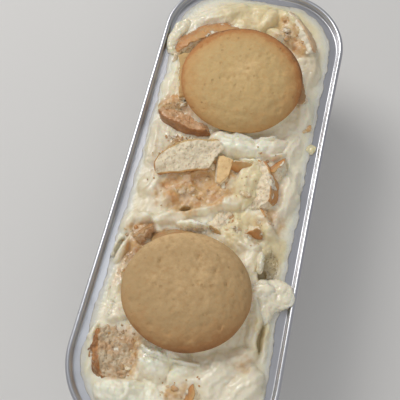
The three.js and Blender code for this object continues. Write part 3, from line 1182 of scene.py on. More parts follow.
@dataclass
class BrokenWafer:
    """A piece that broke out of a wafer.

    `across` and `along` give the part that is left, measured from the wafer's middle,
    where a value over its radius keeps the baked edge. `at` is the middle of the piece,
    and `face` and `lean` say where and how far its top leans. The inner broken side
    slants back by `slant`, the left and right ones by `ends`, and these two draw
    together outwards by `taper`, all in degrees. `nick` mm of the upper right corner are
    gone, `bow` is how far the sides bend down, and `thick` stretches the thickness.
    `toast` browns the skin and `stale` the broken sides, which are as rough as `ragged`
    says. `bed` is the height of the cream that is pushed up around the piece.
    """

    name: str
    across: tuple[float, float]
    along: tuple[float, float]
    at: Row
    face: float
    lean: float
    slant: float = 0.0
    soak: Soak = Soak.DAMP
    toast: float = 0.0
    stale: float = 0.0
    ends: tuple[float, float] = (0.0, 0.0)
    nick: float = 0.0
    bow: float = 0.0
    taper: float = 0.0
    thick: float = 1.0
    ragged: float = 0.5
    bed: float = 0.6
    shape: WaferShape = field(default_factory=lambda: WaferShape(sides=96, dome_steps=24))

    @property
    def width(self) -> float:
        """Size from the left side to the right one."""
        return self.across[1] - self.across[0]

    @property
    def reach(self) -> float:
        """Size from the inner side to the outer one."""
        return self.along[1] - self.along[0]

    @property
    def is_chip(self) -> bool:
        """Whether the piece is a small one."""
        return min(self.width, self.reach) < 9

    @property
    def footprint(self) -> Row:
        """The ellipse that the piece covers, seen from above."""
        lean = math.radians(self.lean)
        deep = self.reach / 2 * math.cos(lean) + 0.4 * self.shape.thickness * math.sin(lean)
        return (*self.at[:2], self.width / 2 + 0.6, deep + 0.8, self.face - 90)

    def breaks(self) -> list[tuple[Vector, Vector]]:
        """Lays a plane along each side that isn't the baked edge, always in the same way.

        Returns:
            A point and an outward direction for each.
        """
        left, right = self.across
        inner, outer = self.along
        slope = math.radians(self.slant)
        left_tip, right_tip = (math.tan(math.radians(end)) for end in self.ends)
        taper = math.tan(math.radians(self.taper))
        middle = self.shape.thickness / 2
        draw = np.random.default_rng(round(10 * (self.face + 180) + 100 * right))
        skew = draw.uniform(-0.28, 0.28, 6)
        inner_side = (Vector((0, inner, middle)), Vector((0, -math.cos(slope), math.sin(slope))))
        sides = [
            (Vector((left, inner, middle)), Vector((-1, skew[0] + taper, skew[1] + left_tip))),
            (Vector((right, inner, middle)), Vector((1, skew[2] + taper, skew[3] + right_tip))),
            (Vector((0, outer, middle)), Vector((skew[4], 1, skew[5]))),
        ]
        kept = [inner_side]
        kept += [side for side, far in zip(sides, (-left, right, outer)) if far < self.shape.radius]
        if self.nick:
            outward = Vector((0.8, 0, 0.6))
            corner = Vector((right - right_tip * middle, inner, 2 * middle))
            kept.append((corner - outward * self.nick, outward))
        if self.is_chip:
            whole = outer < self.shape.radius
            corners = [(left, inner), (right, inner)] + whole * [(left, outer), (right, outer)]
            for x, y in corners:
                turn = math.atan2(y - (inner + outer) / 2, x) + draw.uniform(-0.35, 0.35)
                outward = Vector((math.cos(turn), math.sin(turn), draw.uniform(-0.3, 0.3)))
                back = outward * draw.uniform(0.1, 0.3) * self.width
                kept.append((Vector((x, y, middle)) - back, outward))
        return [(place, outward.normalized()) for place, outward in kept]

    def break_out(self) -> bpy.types.Object:
        """Breaks the piece out of a baked wafer.

        Returns:
            The sharp-edged piece, still where it was in the wafer.
        """
        piece = self.shape.bake(self.name + "_broken")
        edit(True)
        for place, outward in self.breaks():
            bpy.ops.mesh.select_all(action="SELECT")
            cut = {"plane_co": place, "plane_no": outward, "clear_outer": True}
            bpy.ops.mesh.bisect(use_fill=True, **cut)
        edit(False)
        remesh(piece, 0.24 if self.is_chip else 0.34)
        return piece

    def build(self, pan: Pan, finish: bpy.types.Material) -> bpy.types.Object:
        """Breaks, roughens and places the piece.

        Args:
            pan: The pan that it lies in.
            finish: The material for its soak.

        Returns:
            The finished piece.
        """
        piece = self.break_out()
        rows = points_of(piece)
        middle = (rows.min(axis=0) + rows.max(axis=0)) / 2
        inside = smoothstep(self.shape.depth(rows), 0.25, 0.75)
        share = np.hypot(rows[:, 0], rows[:, 1]) / self.shape.radius
        seeded = rows + 7.3 * len(self.name) + self.face
        smooth(piece, 0.5, 5)
        rows = self.crumble(points_of(piece), seeded)
        for axis in range(3):
            rows[:, axis] += 0.45 * sample(seeded + 31 * axis, 5, noise.noise)
            rows[:, axis] += 0.16 * sample(seeded + 17 * axis, 1.8, noise.noise)
        move_points(piece, rows)
        rows += normals_of(piece) * self.roughness(inside, seeded)[:, None]
        record(piece, "inside", inside)
        bake = self.browning(share, rows[:, 2], inside)
        record(piece, "bake", bake + 0.14 * sample(seeded, 6, noise.noise))
        centred = (rows - middle) * np.array([1, 1, self.thick])
        centred[:, 2] -= self.bow * ((2 * centred[:, 0] / self.width) ** 2 - 0.3)
        move_points(piece, pan.keep_in(lay(centred, self.at, self.face, self.lean)))
        return deliver(piece, finish, [self.name], crease=70)

    def crumble(self, rows: np.ndarray, seeded: np.ndarray) -> np.ndarray:
        """Wears the broken sides back unevenly, the skin's edge with them.

        Args:
            rows: The piece's points.
            seeded: The places at which the noise is read.

        Returns:
            The moved points.
        """
        width = min(self.width, 12) / 12
        uneven = 0.7 + 1.5 * sample(seeded, 4.2, crags) + 0.7 * sample(seeded, 1.6, noise.noise)
        worn = rows.copy()
        for place, outward in self.breaks():
            gap = (np.array(place) - rows) @ np.array(outward)
            near = np.exp(-np.maximum(gap, 0) / 1.5)
            wear = self.ragged * width * near * np.maximum(uneven, 0)
            worn -= np.array(outward) * wear[:, None]
        return worn

    def roughness(self, inside: np.ndarray, seeded: np.ndarray) -> np.ndarray:
        """Roughens the surface: pores and grain on the broken sides, less on the skin.

        Args:
            inside: How much of a broken side each point is on, 0 to 1.
            seeded: The places at which the noise is read.

        Returns:
            How far each point is pushed out, in mm.
        """
        rough = 0.3 * sample(seeded, 2.2, crags) + 0.4 * sample(seeded, 0.85, noise.noise)
        pores = smoothstep(sample(seeded, 1.2, cells), 0.42, 0.1)
        skin = 0.1 if self.soak is Soak.DRY else 0.3
        return inside * self.ragged * (rough - 0.6 * pores) + (1 - inside) * skin * rough

    def browning(self, share: np.ndarray, height: np.ndarray, inside: np.ndarray) -> np.ndarray:
        """Browns the skin towards the baked edge and under the foot, and the broken sides evenly.

        Args:
            share: Each point's share of the wafer's radius.
            height: Its height over the foot.
            inside: How much of a broken side it is on, 0 to 1.

        Returns:
            How brown each point is.
        """
        foot = 0.86 * (1 - smoothstep(height, 0.3, 1.2))
        bake = np.maximum(share**2.2 * 0.95 + 0.1 * smoothstep(share, 0.9, 1), foot)
        return (bake + self.toast) * (1 - inside) + self.stale * inside


# ---- The cream ----


@dataclass
class Pudding:
    """The filling: spoonfuls of cream over pudding, wet where crumbs have soaked.

    Each row of the tables starts with an ellipse: its middle x and y, half-length,
    half-width and turn in degrees.
    """

    pan: Pan
    wafers: Sequence[WholeWafer]
    pieces: Sequence[BrokenWafer]
    cells_across: int = 174
    cells_along: int = 474
    shore: float = 4.4
    wall_level: float = -2.25
    middle_level: float = -1.1
    bank: float = 7.0
    spoonful: float = 4.6
    brink: float = 5.0
    stroke: float = 0.13
    stroke_width: float = 2.3
    # Spoonfuls of cream; the last value is the height of the crown.
    dollops: Sequence[Row] = (
        (-13, 68.5, 13, 4.8, 29, 0.8),
        (1, 74, 8, 4, 5, -0.4),
        (-2, 66, 9, 4.6, 10, 0.2),
        (3.8, 69.5, 6.5, 2.6, 68, 2.8),
        (13, 68, 10, 4.6, -48, 2.6),
        (9.5, 62.5, 7, 3, -30, 2),
        (19, 60.5, 6.5, 3.4, -20, 1.6),
        (22.6, 51, 9.5, 3.8, 84, 0.6),
        (23.4, 34, 8, 3.8, 95, 0),
        (-24.8, 37, 12, 3.4, 86, -0.2),
        (-22.5, 27, 6, 4.4, 60, 0.6),
        (-24, 11, 12, 4, 94, 0),
        (-21.5, -4, 6, 5, 70, 0.5),
        (-15, -7, 6, 4, 20, 0.2),
        (2, 15.6, 9, 4.6, -8, 3.6),
        (12.6, 17.4, 8, 4.4, 24, 3.3),
        (14, -63, 15, 13, 0, 1.7),
        (20.5, 19, 7.5, 4.6, 70, 0.9),
        (23.6, 3, 11.5, 4, 88, 0.4),
        (10.4, 3, 9.5, 4.6, 82, 3),
        (5.4, -4.6, 9, 3, 24, 1.8),
        (-4.4, -10, 8, 2, 26, 1.7),
        (-13, -14.4, 8, 2.8, 16, 1.2),
        (10, -16, 9, 6, -30, 1.4),
        (18.6, -9.4, 7, 2.6, -54, 1.6),
        (15.6, -22.4, 6.5, 4, 75, 1.4),
        (-20.6, -16.2, 3.6, 2.6, 30, 1.6),
        (-27.6, -27.5, 6, 1.3, 80, -0.6),
        (-25, -27.6, 5.6, 1.5, 76, 0.8),
        (-25, -18, 6, 3, 80, 0),
        (-23, -39, 9, 4, 92, -0.2),
        (-20.6, -48, 6, 3.4, 40, 0.8),
        (21.6, -31.4, 5, 3.6, 20, 2.2),
        (21.6, -42, 11, 3.4, 98, 0.9),
        (26, -46, 10, 1.5, 92, -0.8),
        (19.6, -52.4, 6, 3.4, 30, 1.6),
        (-4, -56.6, 9.5, 3, -4, 2.4),
        (-6.4, -61, 6, 4.6, -35, 2.4),
        (12.6, -60, 8, 5.6, 66, 3.3),
        (21.6, -61.4, 8, 4.8, 52, 2.8),
        (3.6, -61, 6, 3.8, 40, 1.8),
        (-13, -71, 9, 4.6, 8, 2.6),
        (-2, -72, 6, 4.4, -35, 1.8),
        (13.4, -71.6, 8, 4.2, 18, 2),
        (-25, -61, 9, 2.6, 102, -0.4),
        (-6.5, -57.4, 5, 1.3, -16, 3.7),
        (3.5, -58, 5, 1.2, 8, 3.5),
        (5, 18.6, 5, 1.3, -6, 3.8),
        (12.6, 20.6, 4, 1.2, 26, 3.5),
        (-26.4, -56, 4.6, 1.4, 96, 0.3),
        (-4.6, -15.2, 6, 1.5, 8, 2.7),
        (9, 10.6, 4.6, 1, -6, 2.4),
        (17.6, 15, 4, 1, 20, 1.7),
    )
    # Where cream is missing; the last value is the height of the floor.
    hollows: Sequence[Row] = (
        (20.8, -26, 3.4, 2, 96, -3.4),
        (23.2, -22.8, 7, 4, 100, -2.4),
        (-8.4, -9.6, 2.8, 1.4, 14, -2.8),
        (-26.4, -26.6, 4.4, 0.8, 78, -2.8),
        (-25, -43, 4, 0.6, 98, -2),
        (24.4, -46, 6, 0.9, 92, -2.8),
        (-5, 1.5, 5.5, 4.5, 0, -2.2),
        (18.8, 10.4, 4.6, 3.2, 50, -1.8),
    )
    # Where crumbs have soaked in; here and below, the last value is the strength.
    soaked: Sequence[Row] = (
        (-7, -3, 15, 9.5, 28, 1.0),
        (-3, 4, 8, 7, 0, 1.0),
        (9, 1, 8, 8, 80, 0.14),
        (10, -13, 12, 8, -30, 0.18),
        (-6, -18.4, 9, 1.7, 6, 0.35),
        (-21, 26, 6, 7, 60, 0.8),
        (-16, 12, 7, 3, 10, 0.7),
        (-20, -23, 7, 5, 60, 0.8),
        (20, -8, 6, 5, 0, 0.5),
        (14, 63, 10, 6, -40, 0.6),
        (-17, -60, 9, 9, 0, 0.6),
        (4, -68, 6, 5, 0, 0.5),
        (20, -53, 6, 4, 0, 0.25),
        (-23, -26, 4, 1.8, 76, 0.9),
        (-22.9, -31, 6, 2.6, 78, 0.7),
        (-24, -37.6, 5, 2.2, 86, 0.5),
        (-13, -21, 7, 3, 15, 0.85),
        (-6, 66, 10, 4, 20, 0.3),
    )
    # Where it is wet and glossy.
    wetted: Sequence[Row] = (
        (-22.6, -31.5, 5.6, 2.6, 78, 1.0),
        (-23, -46.5, 4, 2.4, 80, 0.8),
        (-25, -30, 14, 4, 84, 0.45),
        (-4, -16.5, 8, 3, 10, 0.9),
        (-9, -57, 9, 4, 0, 0.8),
        (-17, -50, 5, 4, 0, 0.6),
        (23, -23, 6, 4, 90, 0.9),
        (14, -60, 8, 6, 70, 0.45),
        (23, -61, 8, 5, 55, 0.35),
        (4, 14, 10, 5, 0, 0.3),
        (23, 51, 9, 4, 80, 0.3),
    )
    # Where the pudding shows yellow through the cream; at the far end it also stands in for
    # painted shade.
    yellow_and_shade: Sequence[Row] = (
        (4, 70, 22, 9, 0, 0.85),
        (11, 3, 10, 7, 80, 0.75),
        (22, -18, 8, 5, 90, 0.8),
        (11, -13, 10, 7, 0, 0.8),
        (24, -45, 9, 3, 92, 0.6),
        (-12, -3, 9, 7, 0, 0.4),
        (-24, -8, 8, 3, 95, 0.35),
    )
    # Painted shade in the pits and grooves and along low strips by the walls; in the pits it is
    # partly the wet pudding's own olive colour.
    pits: Sequence[Row] = (
        (22.8, -22.6, 6.6, 3.6, 98, 0.85),
        (20.9, -26.2, 3.4, 2.2, 90, 1.0),
        (22.6, 55, 9, 3.6, 94, 0.55),
        (-24.6, 4, 24, 3, 94, 0.25),
        (-8.4, -9.6, 2.8, 1.2, 14, 0.9),
        (24.2, -46, 6.5, 1.1, 92, 0.8),
        (-26.4, -26.6, 4.4, 0.9, 78, 0.6),
    )
    # Where the spoon left it smooth.
    slick: Sequence[Row] = (
        (13, -60, 8, 6, 70, 1.0),
        (22.4, -61.4, 8, 5, 55, 1.0),
        (3, -60, 8, 5, 40, 0.5),
        (-24, 5, 30, 4, 93, 0.6),
        (-8, 68, 16, 6, 15, 0.6),
        (24, 20, 30, 4, 92, 0.5),
        (-24.6, -37, 8, 3.4, 88, 1.0),
    )
    # Where it is lumpy with crumbs.
    curdled: Sequence[Row] = (
        (12, -14, 12, 8, -30, 1.0),
        (10, 2, 7, 8, 80, 0.7),
        (24, -46, 10, 3, 92, 0.6),
        (-7, -3, 15, 9, 28, 0.8),
        (-23, -28, 10, 3, 80, 0.6),
        (10, 66, 14, 6, -20, 0.5),
        (-14, -66, 12, 7, 0, 0.8),
        (4, -68, 8, 6, 0, 0.8),
    )
    # Where it is whipped up and rough.
    frothy: Sequence[Row] = (
        (-9, -71, 15, 6, 0, 1.3),
        (-5, -59, 9, 4, -10, 1.1),
        (6, 17, 12, 5, 0, 1.0),
        (-4.6, -15.2, 7, 1.8, 8, 0.9),
        (2, -12, 6, 1.8, 30, 0.6),
    )

    def dollop(self, x: np.ndarray, y: np.ndarray, row: Row) -> np.ndarray:
        """Heaps one spoonful, with the marks of the spoon's stroke on it.

        Args:
            x: Places across.
            y: Places along.
            row: The spoonful.

        Returns:
            Its height at each place, and far below the cream outside its ellipse.
        """
        middle_x, middle_y, _, _, turn, crown = row
        place = in_ellipse(x, y, row)
        angle = math.radians(turn)
        across = (y - middle_y) * math.cos(angle) - (x - middle_x) * math.sin(angle)
        marks = self.stroke * np.sin(2 * math.pi * across / self.stroke_width + middle_x)
        dome = self.spoonful * (1 - np.sqrt(np.maximum(1 - place**2, 0)))
        return np.where(place < 1, crown - dome + marks, -9)

    def relief(self, x: np.ndarray, y: np.ndarray) -> np.ndarray:
        """Gives the surface its lumps, folds, curds and crumbly plates.

        Args:
            x: Places across.
            y: Places along.

        Returns:
            How far each place is raised, in mm.
        """
        flat = on_plane(x, y)
        curds = coverage(x, y, self.curdled)
        rough = smoothstep(sample(flat + 90, 9, noise.noise), -0.35, 0.45)
        rough *= 1 - 0.85 * coverage(x, y, self.slick)
        rough = np.maximum(rough, np.maximum(curds, coverage(x, y, self.frothy)))
        lumps = sample(flat + 5, 3.8, billow) + 0.5 * sample(flat + 9, 1.7, billow) - 0.6
        folds = sample(on_plane(*wander(x, y, 2.5, 7)), 5.5, ridges) - 0.7
        relief = (0.2 + 0.4 * rough) * lumps + (0.15 + 0.33 * rough) * folds
        relief += 0.22 * curds * sample(flat + 33, 1.5, crags)
        return relief + 0.2 * coverage(x, y, self.soaked) * sample(flat + 60, 3.4, flakes)

    def heights(self, x: np.ndarray, y: np.ndarray) -> np.ndarray:
        """Works out the cream's height over or under the rim.

        Args:
            x: Places across the pan.
            y: Places along it.

        Returns:
            One height for each place.
        """
        rise = smoothstep(self.pan.inset(x, y) - self.pan.ledge_inset, 0, self.bank)
        height = self.wall_level + (self.middle_level - self.wall_level) * rise
        height += 0.5 * rise * sample(on_plane(x, y), 7, noise.noise)
        swerved = wander(*wander(x, y, 1.2, 5.5), 0.45, 1.9)
        for row in self.dollops:
            height = soft_max(height, self.dollop(*swerved, row), 0.9)
        height += rise * self.relief(x, y)
        for piece in self.pieces:
            place = in_ellipse(*swerved, piece.footprint)
            height += piece.bed * rise * np.exp(-(((place - 1.1) / 0.28) ** 2))
        for wafer in self.wafers:
            under = 1 - smoothstep(wafer.place_of(x, y), 0.88, 1.0)
            height = height * (1 - under) + (wafer.at[2] + 0.5) * under
        for row in self.hollows:
            place = in_ellipse(*swerved, row)
            floor = row[5] + self.brink * smoothstep(place, 0.5, 1.3)
            height = np.where(place < 1.3, np.minimum(height, floor), height)
        return height

    def spread(self) -> bpy.types.Object:
        """Lays a fine grid over the pan, its sides drawn in to the rounded outline.

        Returns:
            The flat grid.
        """
        start_fresh()
        bpy.ops.mesh.primitive_grid_add(
            x_subdivisions=self.cells_across, y_subdivisions=self.cells_along, size=2
        )
        piece = named("cream_body")
        rows = points_of(piece)
        half_x = self.pan.width / 2 - self.shore
        half_y = self.pan.length / 2 - self.shore
        radius = self.pan.corner - self.shore
        y = rows[:, 1] * half_y
        over = np.clip(np.abs(y) - (half_y - radius), 0, radius)
        reach = half_x - radius + np.sqrt(radius**2 - over**2)
        flat = on_plane(rows[:, 0] * (reach - self.pan.waist_at(y)), y)
        ragged = 0.9 * sample(flat, 7.5, noise.noise) + 0.5 * sample(flat, 2.4, noise.noise)
        ragged += 0.2 * sample(flat, 1.1, noise.noise)
        for axis in (0, 1):
            share = smoothstep(np.abs(rows[:, axis]), 0.9, 1)
            flat[:, axis] += np.sign(rows[:, axis]) * share * ragged
        move_points(piece, flat)
        return piece

    def build(self) -> bpy.types.Object:
        """Shapes the surface, lets its sides down to the floor and dresses it.

        Returns:
            The finished cream.
        """
        piece = self.spread()
        flat = points_of(piece)
        x, y = flat[:, 0], flat[:, 1]
        rows = flat.copy()
        rows[:, 2] = self.heights(x, y)
        move_points(piece, rows)
        swerved = wander(*wander(x, y, 2.4, 6), 0.8, 2)
        soak = coverage(*swerved, self.soaked)
        patchy = soak + 0.4 * sample(flat + 70, 4.5, crags)
        soak = smoothstep(soak, 0.0, 0.35) * smoothstep(patchy, 0.05, 0.75)
        wet = coverage(*swerved, self.wetted)
        away_from_wall = smoothstep(self.pan.inset(x, y) - self.shore, 0.6, 2.4)
        fine = 0.1 * sample(rows, 1.1, noise.noise)
        fine += (0.06 + 0.04 * soak) * sample(rows, 0.9, crags)
        bubbles = smoothstep(sample(flat, 1.0, cells), 0.4, 0.12) * smoothstep(wet, 0.5, 0.8)
        rows += normals_of(piece) * (away_from_wall * (fine + 0.25 * bubbles))[:, None]
        move_points(piece, rows)
        record(piece, "soak", soak)
        record(piece, "wet", wet)
        record(piece, "yellow_and_shade", coverage(*swerved, self.yellow_and_shade))
        record(piece, "froth", coverage(*swerved, self.frothy))
        # Painted shade: in the dips and in the pits.
        record(piece, "hollow_shade", self.hollowness(rows[:, 2]))
        record(piece, "deep", coverage(x, y, self.pits))
        self.let_down(piece)
        return deliver(piece, Cream().material(), ["cream"], crease=180)

    def hollowness(self, height: np.ndarray) -> np.ndarray:
        """Finds the dips, where shade is painted, against a smoothed copy of the surface.

        Args:
            height: The height of each point of the grid.

        Returns:
            How far each point lies below what is around it, 0 to 1.
        """
        table = height.reshape(self.cells_along + 1, self.cells_across + 1)
        level = table
        for _ in range(14):
            padded = np.pad(level, 1, mode="edge")
            lengthwise = padded[:-2, 1:-1] + padded[2:, 1:-1]
            level = (lengthwise + padded[1:-1, :-2] + padded[1:-1, 2:]) / 4
        return np.clip((level - table) / 0.55, 0, 1).ravel()

    def let_down(self, piece: bpy.types.Object) -> None:
        """Closes the cream down along the pan's wall to its floor.

        Args:
            piece: The shaped surface.
        """
        take_up(piece)
        edit(True)
        pick_edges(lambda edge: edge.is_boundary)
        inset = self.shore
        for next_inset, level in ((6.3, -2.6), (7.1, -7.0), (9.3, -20.0), (12, -34.5), (14.5, -38)):
            bpy.ops.mesh.extrude_edges_move(TRANSFORM_OT_translate={"value": (0, 0, 0)})
            self.pan.draw_in(inset, next_inset, 0, level)
            inset = next_inset
        close_up()


@dataclass
class Overflow:
    """Cream that has run out over the ledge: a few lumps grown together.

    Each lump gives its middle, its half-sizes along x, y and z, and its turn in degrees.
    """

    name: str
    lumps: Sequence[Row]
    # Yellow tint, partly painted shade that tones the lumps down.
    yellow_and_shade: float = 0.15
    voxel: float = 0.32
    wet: float = 0.25

    def build(self, pan: Pan, finish: bpy.types.Material) -> bpy.types.Object:
        """Grows the lumps together and wrinkles them.

        Args:
            pan: The pan that it lies on.
            finish: The cream's material.

        Returns:
            The finished overflow.
        """
        parts = [self.lump(row) for row in self.lumps]
        take_up(parts[0])
        for part in parts[1:]:
            part.select_set(True)
        if len(parts) > 1:
            bpy.ops.object.join()
        piece = named(self.name)
        remesh(piece, self.voxel)
        smooth(piece, 0.6, 8)
        rows = points_of(piece)
        waves = 0.45 * (sample(rows, 3, billow) - 0.4) + 0.3 * (sample(rows, 1.4, billow) - 0.4)
        waves += 0.1 * sample(rows, 0.8, noise.noise)
        rows += normals_of(piece) * waves[:, None]
        move_points(piece, pan.keep_in(rows))
        record(piece, "wet", np.full(len(rows), self.wet))
        record(piece, "yellow_and_shade", np.full(len(rows), self.yellow_and_shade))
        return deliver(piece, finish, crease=180)

    def lump(self, row: Row) -> bpy.types.Object:
        """Models one lump.

        Args:
            row: Its middle, half-sizes and turn.

        Returns:
            The lump, a closed shape.
        """
        x, y, z, size_x, size_y, size_z, turn = row
        start_fresh()
        bpy.ops.mesh.primitive_ico_sphere_add(subdivisions=4, radius=1)
        part = bpy.context.object
        edit(True)
        bpy.ops.transform.resize(value=(size_x, size_y, size_z), center_override=(0, 0, 0))
        edit(False)
        turned = Matrix.Rotation(math.radians(turn), 4, "Z")
        part.data.transform(Matrix.Translation((x, y, z)) @ turned)
        return part


@dataclass
class Crumbs:
    """Loose crumbs of one kind, strewn over patches of the cream.

    Each patch gives middle x and y, half-length, half-width, turn, and how many. `size`
    and `bake` are the least and the most of a crumb's radius and browning, `flatness` is
    its height over its width, `sunk` the share of its height that is in the cream, and
    `inside` says how much of it is broken side.
    """

    name: str
    patches: Sequence[Row]
    size: tuple[float, float]
    flatness: float
    sunk: float
    bake: tuple[float, float]
    inside: float
    seed: int
    kinds: int = 8

    def shapes(self) -> list[tuple[np.ndarray, np.ndarray]]:
        """Models the few crumbs that the others copy.

        Returns:
            The points and the triangles of each.
        """
        made = []
        for kind in range(self.kinds):
            start_fresh()
            bpy.ops.mesh.primitive_ico_sphere_add(subdivisions=2, radius=1)
            part = bpy.context.object
            rows = points_of(part)
            swell = sample(rows + 3.1 * (kind + self.seed), 0.9, noise.noise)
            rows *= 1 + 0.7 * swell[:, None]
            rows *= np.array([1.0, 0.75 + 0.05 * kind, self.flatness])
            faces = np.array([face.vertices[:] for face in part.data.polygons])
            made.append((rows, faces))
            bpy.data.objects.remove(part)
        return made

    def places(self, draw: np.random.Generator, pudding: Pudding) -> np.ndarray:
        """Strews places over the patches, but not on the whole wafers.

        Args:
            draw: Where the random numbers come from.
            pudding: The cream that the crumbs lie on.

        Returns:
            The places on the cream, one row each.
        """
        x, y = np.concatenate([self.patch_places(draw, row) for row in self.patches], axis=1)
        free = np.full(len(x), True)
        for wafer in pudding.wafers:
            free &= wafer.place_of(x, y) > 1.0
        x, y = x[free], y[free]
        return np.stack([x, y, pudding.heights(x, y)], axis=1)

    def patch_places(self, draw: np.random.Generator, row: Row) -> np.ndarray:
        """Draws the places in one patch, thicker towards its middle.

        Args:
            draw: Where the random numbers come from.
            row: The patch.

        Returns:
            The places across, then the places along.
        """
        middle_x, middle_y, half_length, half_width, turn, count = row
        reach = np.sqrt(draw.uniform(0, 1, int(count))) * draw.uniform(0.6, 1.0, int(count))
        around = draw.uniform(0, 2 * math.pi, int(count))
        along, aside = half_length * reach * np.cos(around), half_width * reach * np.sin(around)
        angle = math.radians(turn)
        return np.stack([
            middle_x + along * math.cos(angle) - aside * math.sin(angle),
            middle_y + along * math.sin(angle) + aside * math.cos(angle),
        ])

    def build(self, pudding: Pudding, finish: bpy.types.Material) -> bpy.types.Object:
        """Strews the crumbs and joins them.

        Args:
            pudding: The cream that they lie on.
            finish: Their material.

        Returns:
            The finished crumbs, one object.
        """
        draw = np.random.default_rng(self.seed)
        places = self.places(draw, pudding)
        shapes = self.shapes()
        points, faces, bakes, count = [], [], [], 0
        for i, place in enumerate(places):
            rows, corners = shapes[i % self.kinds]
            size = draw.uniform(*self.size) * draw.uniform(0.7, 1.0)
            turn = Euler(draw.uniform(-0.5, 0.5, 2).tolist() + [draw.uniform(0, 6.28)])
            placed = (rows * size) @ np.array(turn.to_matrix()).T + place
            placed[:, 2] += size * self.flatness * (1 - 2 * self.sunk)
            points.append(placed)
            faces.append(corners + count)
            bakes.append(np.full(len(rows), draw.uniform(*self.bake)))
            count += len(rows)
        mesh = bpy.data.meshes.new(self.name)
        mesh.from_pydata(np.concatenate(points), [], np.concatenate(faces))
        piece = bpy.data.objects.new(self.name, mesh)
        bpy.context.scene.collection.objects.link(piece)
        record(piece, "bake", np.concatenate(bakes))
        record(piece, "inside", np.full(count, self.inside))
        return deliver(piece, finish, crease=180)


# ---- What lies on the cream ----


def whole_wafers() -> list[WholeWafer]:
    """The two wafers that lie on the cream whole."""
    far = WholeWafer(
        "wafer_far", (-0.2, 39.3, 2.2), (21.1, 20.2), -80, 2.5, 3, browner=(0.05, 0.45, 1.05)
    )
    # The near wafer's browner slope is partly painted light and shade: paler on its lit far side,
    # browner on its shaded right.
    near = WholeWafer(
        "wafer_near", (-1.2, -37.8, 2.1), (20.1, 19.1), 95, 5.5, 61, browner=(0.2, -0.7, 0.45)
    )
    return [far, near]


def broken_wafers() -> list[BrokenWafer]:
    """The broken pieces, from the far end of the pan to the near one."""
    edge = 21.0  # over the wafer's radius, so the baked edge is kept
    dry, soaked, coated = Soak.DRY, Soak.SOAKED, Soak.COATED
    return [
        BrokenWafer(
            "fragment_far_left", (-14, 12), (9, edge), (-18.5, 56.2, -0.2), 122, 4, 14,
            toast=0.35, ends=(32, 0), ragged=0.8,
        ),
        BrokenWafer(
            "fragment_under_far_left", (-9.5, 9), (-6, 4.8), (-19, 39.4, -1.8), 190, 5,
            soak=dry, toast=0.35, bed=0,
        ),
        BrokenWafer(
            "fragment_under_far_right", (-3.8, 3.4), (-4, 4.6), (19.8, 40.4, -2.7), 0, 6,
            soak=soaked, toast=0.5,
        ),
        BrokenWafer(
            "fragment_on_edge", (-10, 10.5), (11, edge), (-16.7, 20, -3), -103, 56,
            soak=soaked, toast=0.8, stale=0.58, bow=1.2, bed=0.8,
        ),
        BrokenWafer(
            "fragment_standing", (-edge, 2.2), (0, 13), (-12, 9.9, -3.6), 106, 70,
            soak=dry, ends=(0, -40), nick=3.2, bow=0.8, ragged=0.4, bed=0.3, thick=1.15,
        ),
        BrokenWafer(
            "fragment_right", (-9, 8.4), (0, 11), (16, 3, -3), 14, 58,
            toast=0.85, stale=-0.7, bow=2, nick=1.6, bed=0.9,
        ),
        BrokenWafer(
            "fragment_near_left", (-9.4, 9.4), (9.8, edge), (-18.6, -60.4, -0.8), 200, 22, 60,
            ragged=0.8, toast=0.75, stale=0.56, bow=1.4, nick=2.4, bed=1.0,
        ),
        BrokenWafer(
            "fragment_beside_near", (-3.6, 3.6), (13.6, edge), (-19, -21.2, -0.5), 140, 24,
            soak=soaked, toast=-0.5, stale=0.55, ragged=0.6, bed=0.9,
        ),
        BrokenWafer(
            "fragment_under_near", (-8.5, 8.5), (10.4, edge), (-8.8, -20, -1.8), 100, 14,
            soak=soaked, toast=-0.4, bed=0.8,
        ),
        BrokenWafer(
            "fragment_far_right", (-9.5, 9.5), (10, edge), (17, 66.4, -1.4), 38, 30, 20,
            soak=coated, toast=0.3, bed=1.0,
        ),
        BrokenWafer(
            "chip_middle", (-2.9, 2.9), (-5, 5.2), (0, 6.2, -2.9), 284, 8,
            soak=dry, toast=-1, ragged=0.2, taper=4,
        ),
        BrokenWafer("chip_bar", (-6, 6), (15.2, edge), (7.6, 8.8, -1), 272, 30, bed=0.6, ragged=0.25),
        BrokenWafer(
            "chip_right", (-5, 5), (14, edge), (18.6, 10.6, -0.1), 140, 20,
            toast=0.3, bed=0.2, ragged=0.3,
        ),
        BrokenWafer("chip_ridge", (-3.6, 3.6), (8, 16), (4, -12.2, -3), 250, 76, toast=0.2),
        BrokenWafer(
            "chip_right_low", (-3.8, 3.8), (15, edge), (16.6, -7.4, -0.4), 45, 30,
            toast=0.3, ragged=0.3,
        ),
        BrokenWafer(
            "chip_right_near", (-4.2, 4.2), (15, edge), (14.8, -13.2, -0.5), 275, 30,
            toast=0.3, ragged=0.3,
        ),
        BrokenWafer(
            "chip_near", (-3.4, 3.4), (13.4, edge), (7.4, -67.8, -0.6), 170, 30,
            toast=0.3, ragged=0.3,
        ),
        BrokenWafer("chip_on_ledge", (-2.8, 2.8), (-1.7, 1.7), (26.4, 29.6, -5.9), 180, 14, bed=0),
    ]


